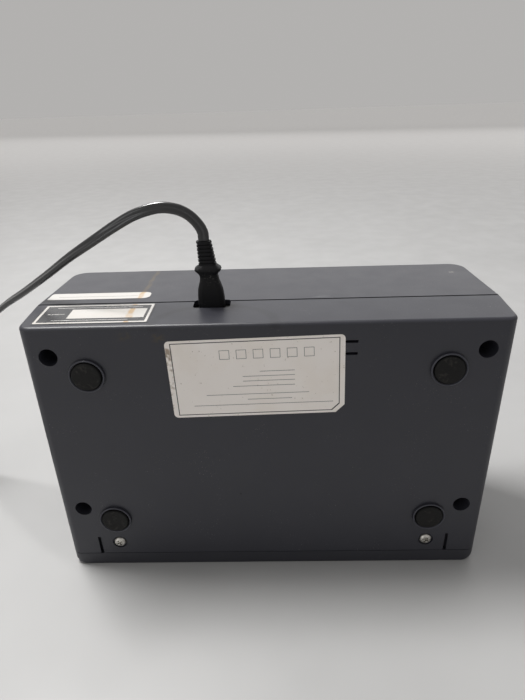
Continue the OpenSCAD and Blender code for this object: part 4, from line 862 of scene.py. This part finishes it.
# Pointer line on the knob, and the marks of the switch
top = Sheet(at(28, 22, 2.3), (-1, 0, 0), (0, 1, 0))
mesh_piece("knob_line", *ray_mark(top, (0, 0), SWEEP_START, 2.4, 9.6, 0.9), white_ink, body="knob")

TILT = math.radians(-8)
rock_v = Vector((0, math.cos(TILT), math.sin(TILT)))
rocker_face = Sheet(at(-104, 36, 16), (-1, 0, 0), rock_v)


def on_dish(u, v):
    """Height of the rocker's dished face above its pivot, at a distance v from the middle."""
    dip, half, proud = 2.6, 9.9, 6.4
    radius = (half * half + dip * dip) / (2 * dip)
    return proud - dip + radius - math.sqrt(radius * radius - v * v)


turns = np.linspace(0, 2 * math.pi, 24, endpoint=False)
ring_outer, ring_inner = (
    [(r * 2.0 * math.cos(a), 5.6 + r * 2.0 * math.sin(a)) for a in turns] for r in (1.0, 0.72))
sides = ((ring_inner, -0.05), (ring_outer, -0.05), (ring_outer, 0.05), (ring_inner, 0.05))
ring_points = [rocker_face.point(u, v, on_dish(u, v) + w) for outline, w in sides for u, v in outline]
ring = (ring_points, band_faces(len(turns)))
stroke_outline = [(0.3, -3.6), (-0.3, -3.6), (-0.3, -7.6), (0.3, -7.6)]
stroke = loft([
    [rocker_face.point(u, v, on_dish(u, v) + w) for u, v in stroke_outline] for w in (-0.05, 0.08)])
mesh_piece("rocker_marks", *joined([ring, stroke]), white_ink, body="rocker")

# ---------------------------------------------------------------- floor and light

STUDIO_TONE = (0.80, 0.785, 0.77, 1)
SPREAD = 9.0


def floor_finish():
    """Pale matt floor, painted lighter and glowing faintly far away as painted light, where it meets the
    backdrop's tone.
    """
    f = Finish("pale_floor", (0.41, 0.41, 0.41), 0.38, Specular_IOR_Level=0.35)
    f.paint(f.span(f.noise(7, 4), 0.35, 0.7, 0, 0.5), (0.37, 0.37, 0.37))
    reach = f.add("ShaderNodeVectorMath", {0: f.where}, operation="LENGTH").outputs["Value"]
    # Painted light: the floor is painted lighter further from the middle
    f.paint(f.span(reach, 0.6, 3.2), (0.66, 0.65, 0.64))
    f.roughen(f.noise(25, 4), 0.33, 0.46)
    f.shader.inputs["Emission Color"].default_value = STUDIO_TONE
    # Painted light: the far floor glows in the backdrop's tone
    f.feed(f.shader.inputs["Emission Strength"], f.span(reach, 1.6, 5.0, 0, 0.16))
    return f.material


floor_mesh = bpy.data.meshes.new("floor")
corners = [(x * SPREAD, y * SPREAD, 0) for x, y in ((-1, -1), (1, -1), (1, 1), (-1, 1))]
floor_mesh.from_pydata(corners, [], [(0, 1, 2, 3)])
floor_mesh.materials.append(floor_finish())
floor = bpy.data.objects.new("floor", floor_mesh)
bpy.context.scene.collection.objects.link(floor)

world = bpy.data.worlds.new("studio")
bpy.context.scene.world = world
world.use_nodes = True
sky = world.node_tree.nodes
ways = sky.new("ShaderNodeSeparateXYZ")
world.node_tree.links.new(sky.new("ShaderNodeTexCoord").outputs["Generated"], ways.inputs[0])
ramp = sky.new("ShaderNodeMapRange")
ramp.interpolation_type = "SMOOTHSTEP"
for key, value in (("From Min", -0.9), ("From Max", 0.5), ("To Min", 0.53), ("To Max", 0.56)):
    ramp.inputs[key].default_value = value
world.node_tree.links.new(ways.outputs["Y"], ramp.inputs["Value"])
world.node_tree.links.new(ramp.outputs["Result"], sky["Background"].inputs["Strength"])
sky["Background"].inputs["Color"].default_value = STUDIO_TONE


def soft_light(name, place, aim, size, power, color=(1, 1, 1)):
    """A rectangular softbox that lights the scene but isn't seen itself."""
    data = bpy.data.lights.new(name, "AREA")
    data.shape = "RECTANGLE"
    data.size, data.size_y = size
    data.energy = power
    data.color = color
    lamp = bpy.data.objects.new(name, data)
    bpy.context.scene.collection.objects.link(lamp)
    lamp.location = place
    lamp.rotation_euler = (Vector(aim) - Vector(place)).to_track_quat("-Z", "Y").to_euler()
    lamp.visible_camera = False


soft_light("overhead", (-0.50, 0.20, 1.40), (0, -0.05, 0.0), (0.45, 0.32), 25.0, (1.0, 0.99, 0.975))
soft_light("back", (0.5, 3.4, 1.7), (0, 0, 0.15), (6.0, 2.4), 36.0)
soft_light("front", (-1.6, -2.0, 0.62), (0, 0, 0.10), (1.6, 0.7), 5.0, (0.97, 0.985, 1.0))

bpy.context.scene.view_settings.view_transform = "Standard"
bpy.context.scene.view_settings.look = "None"
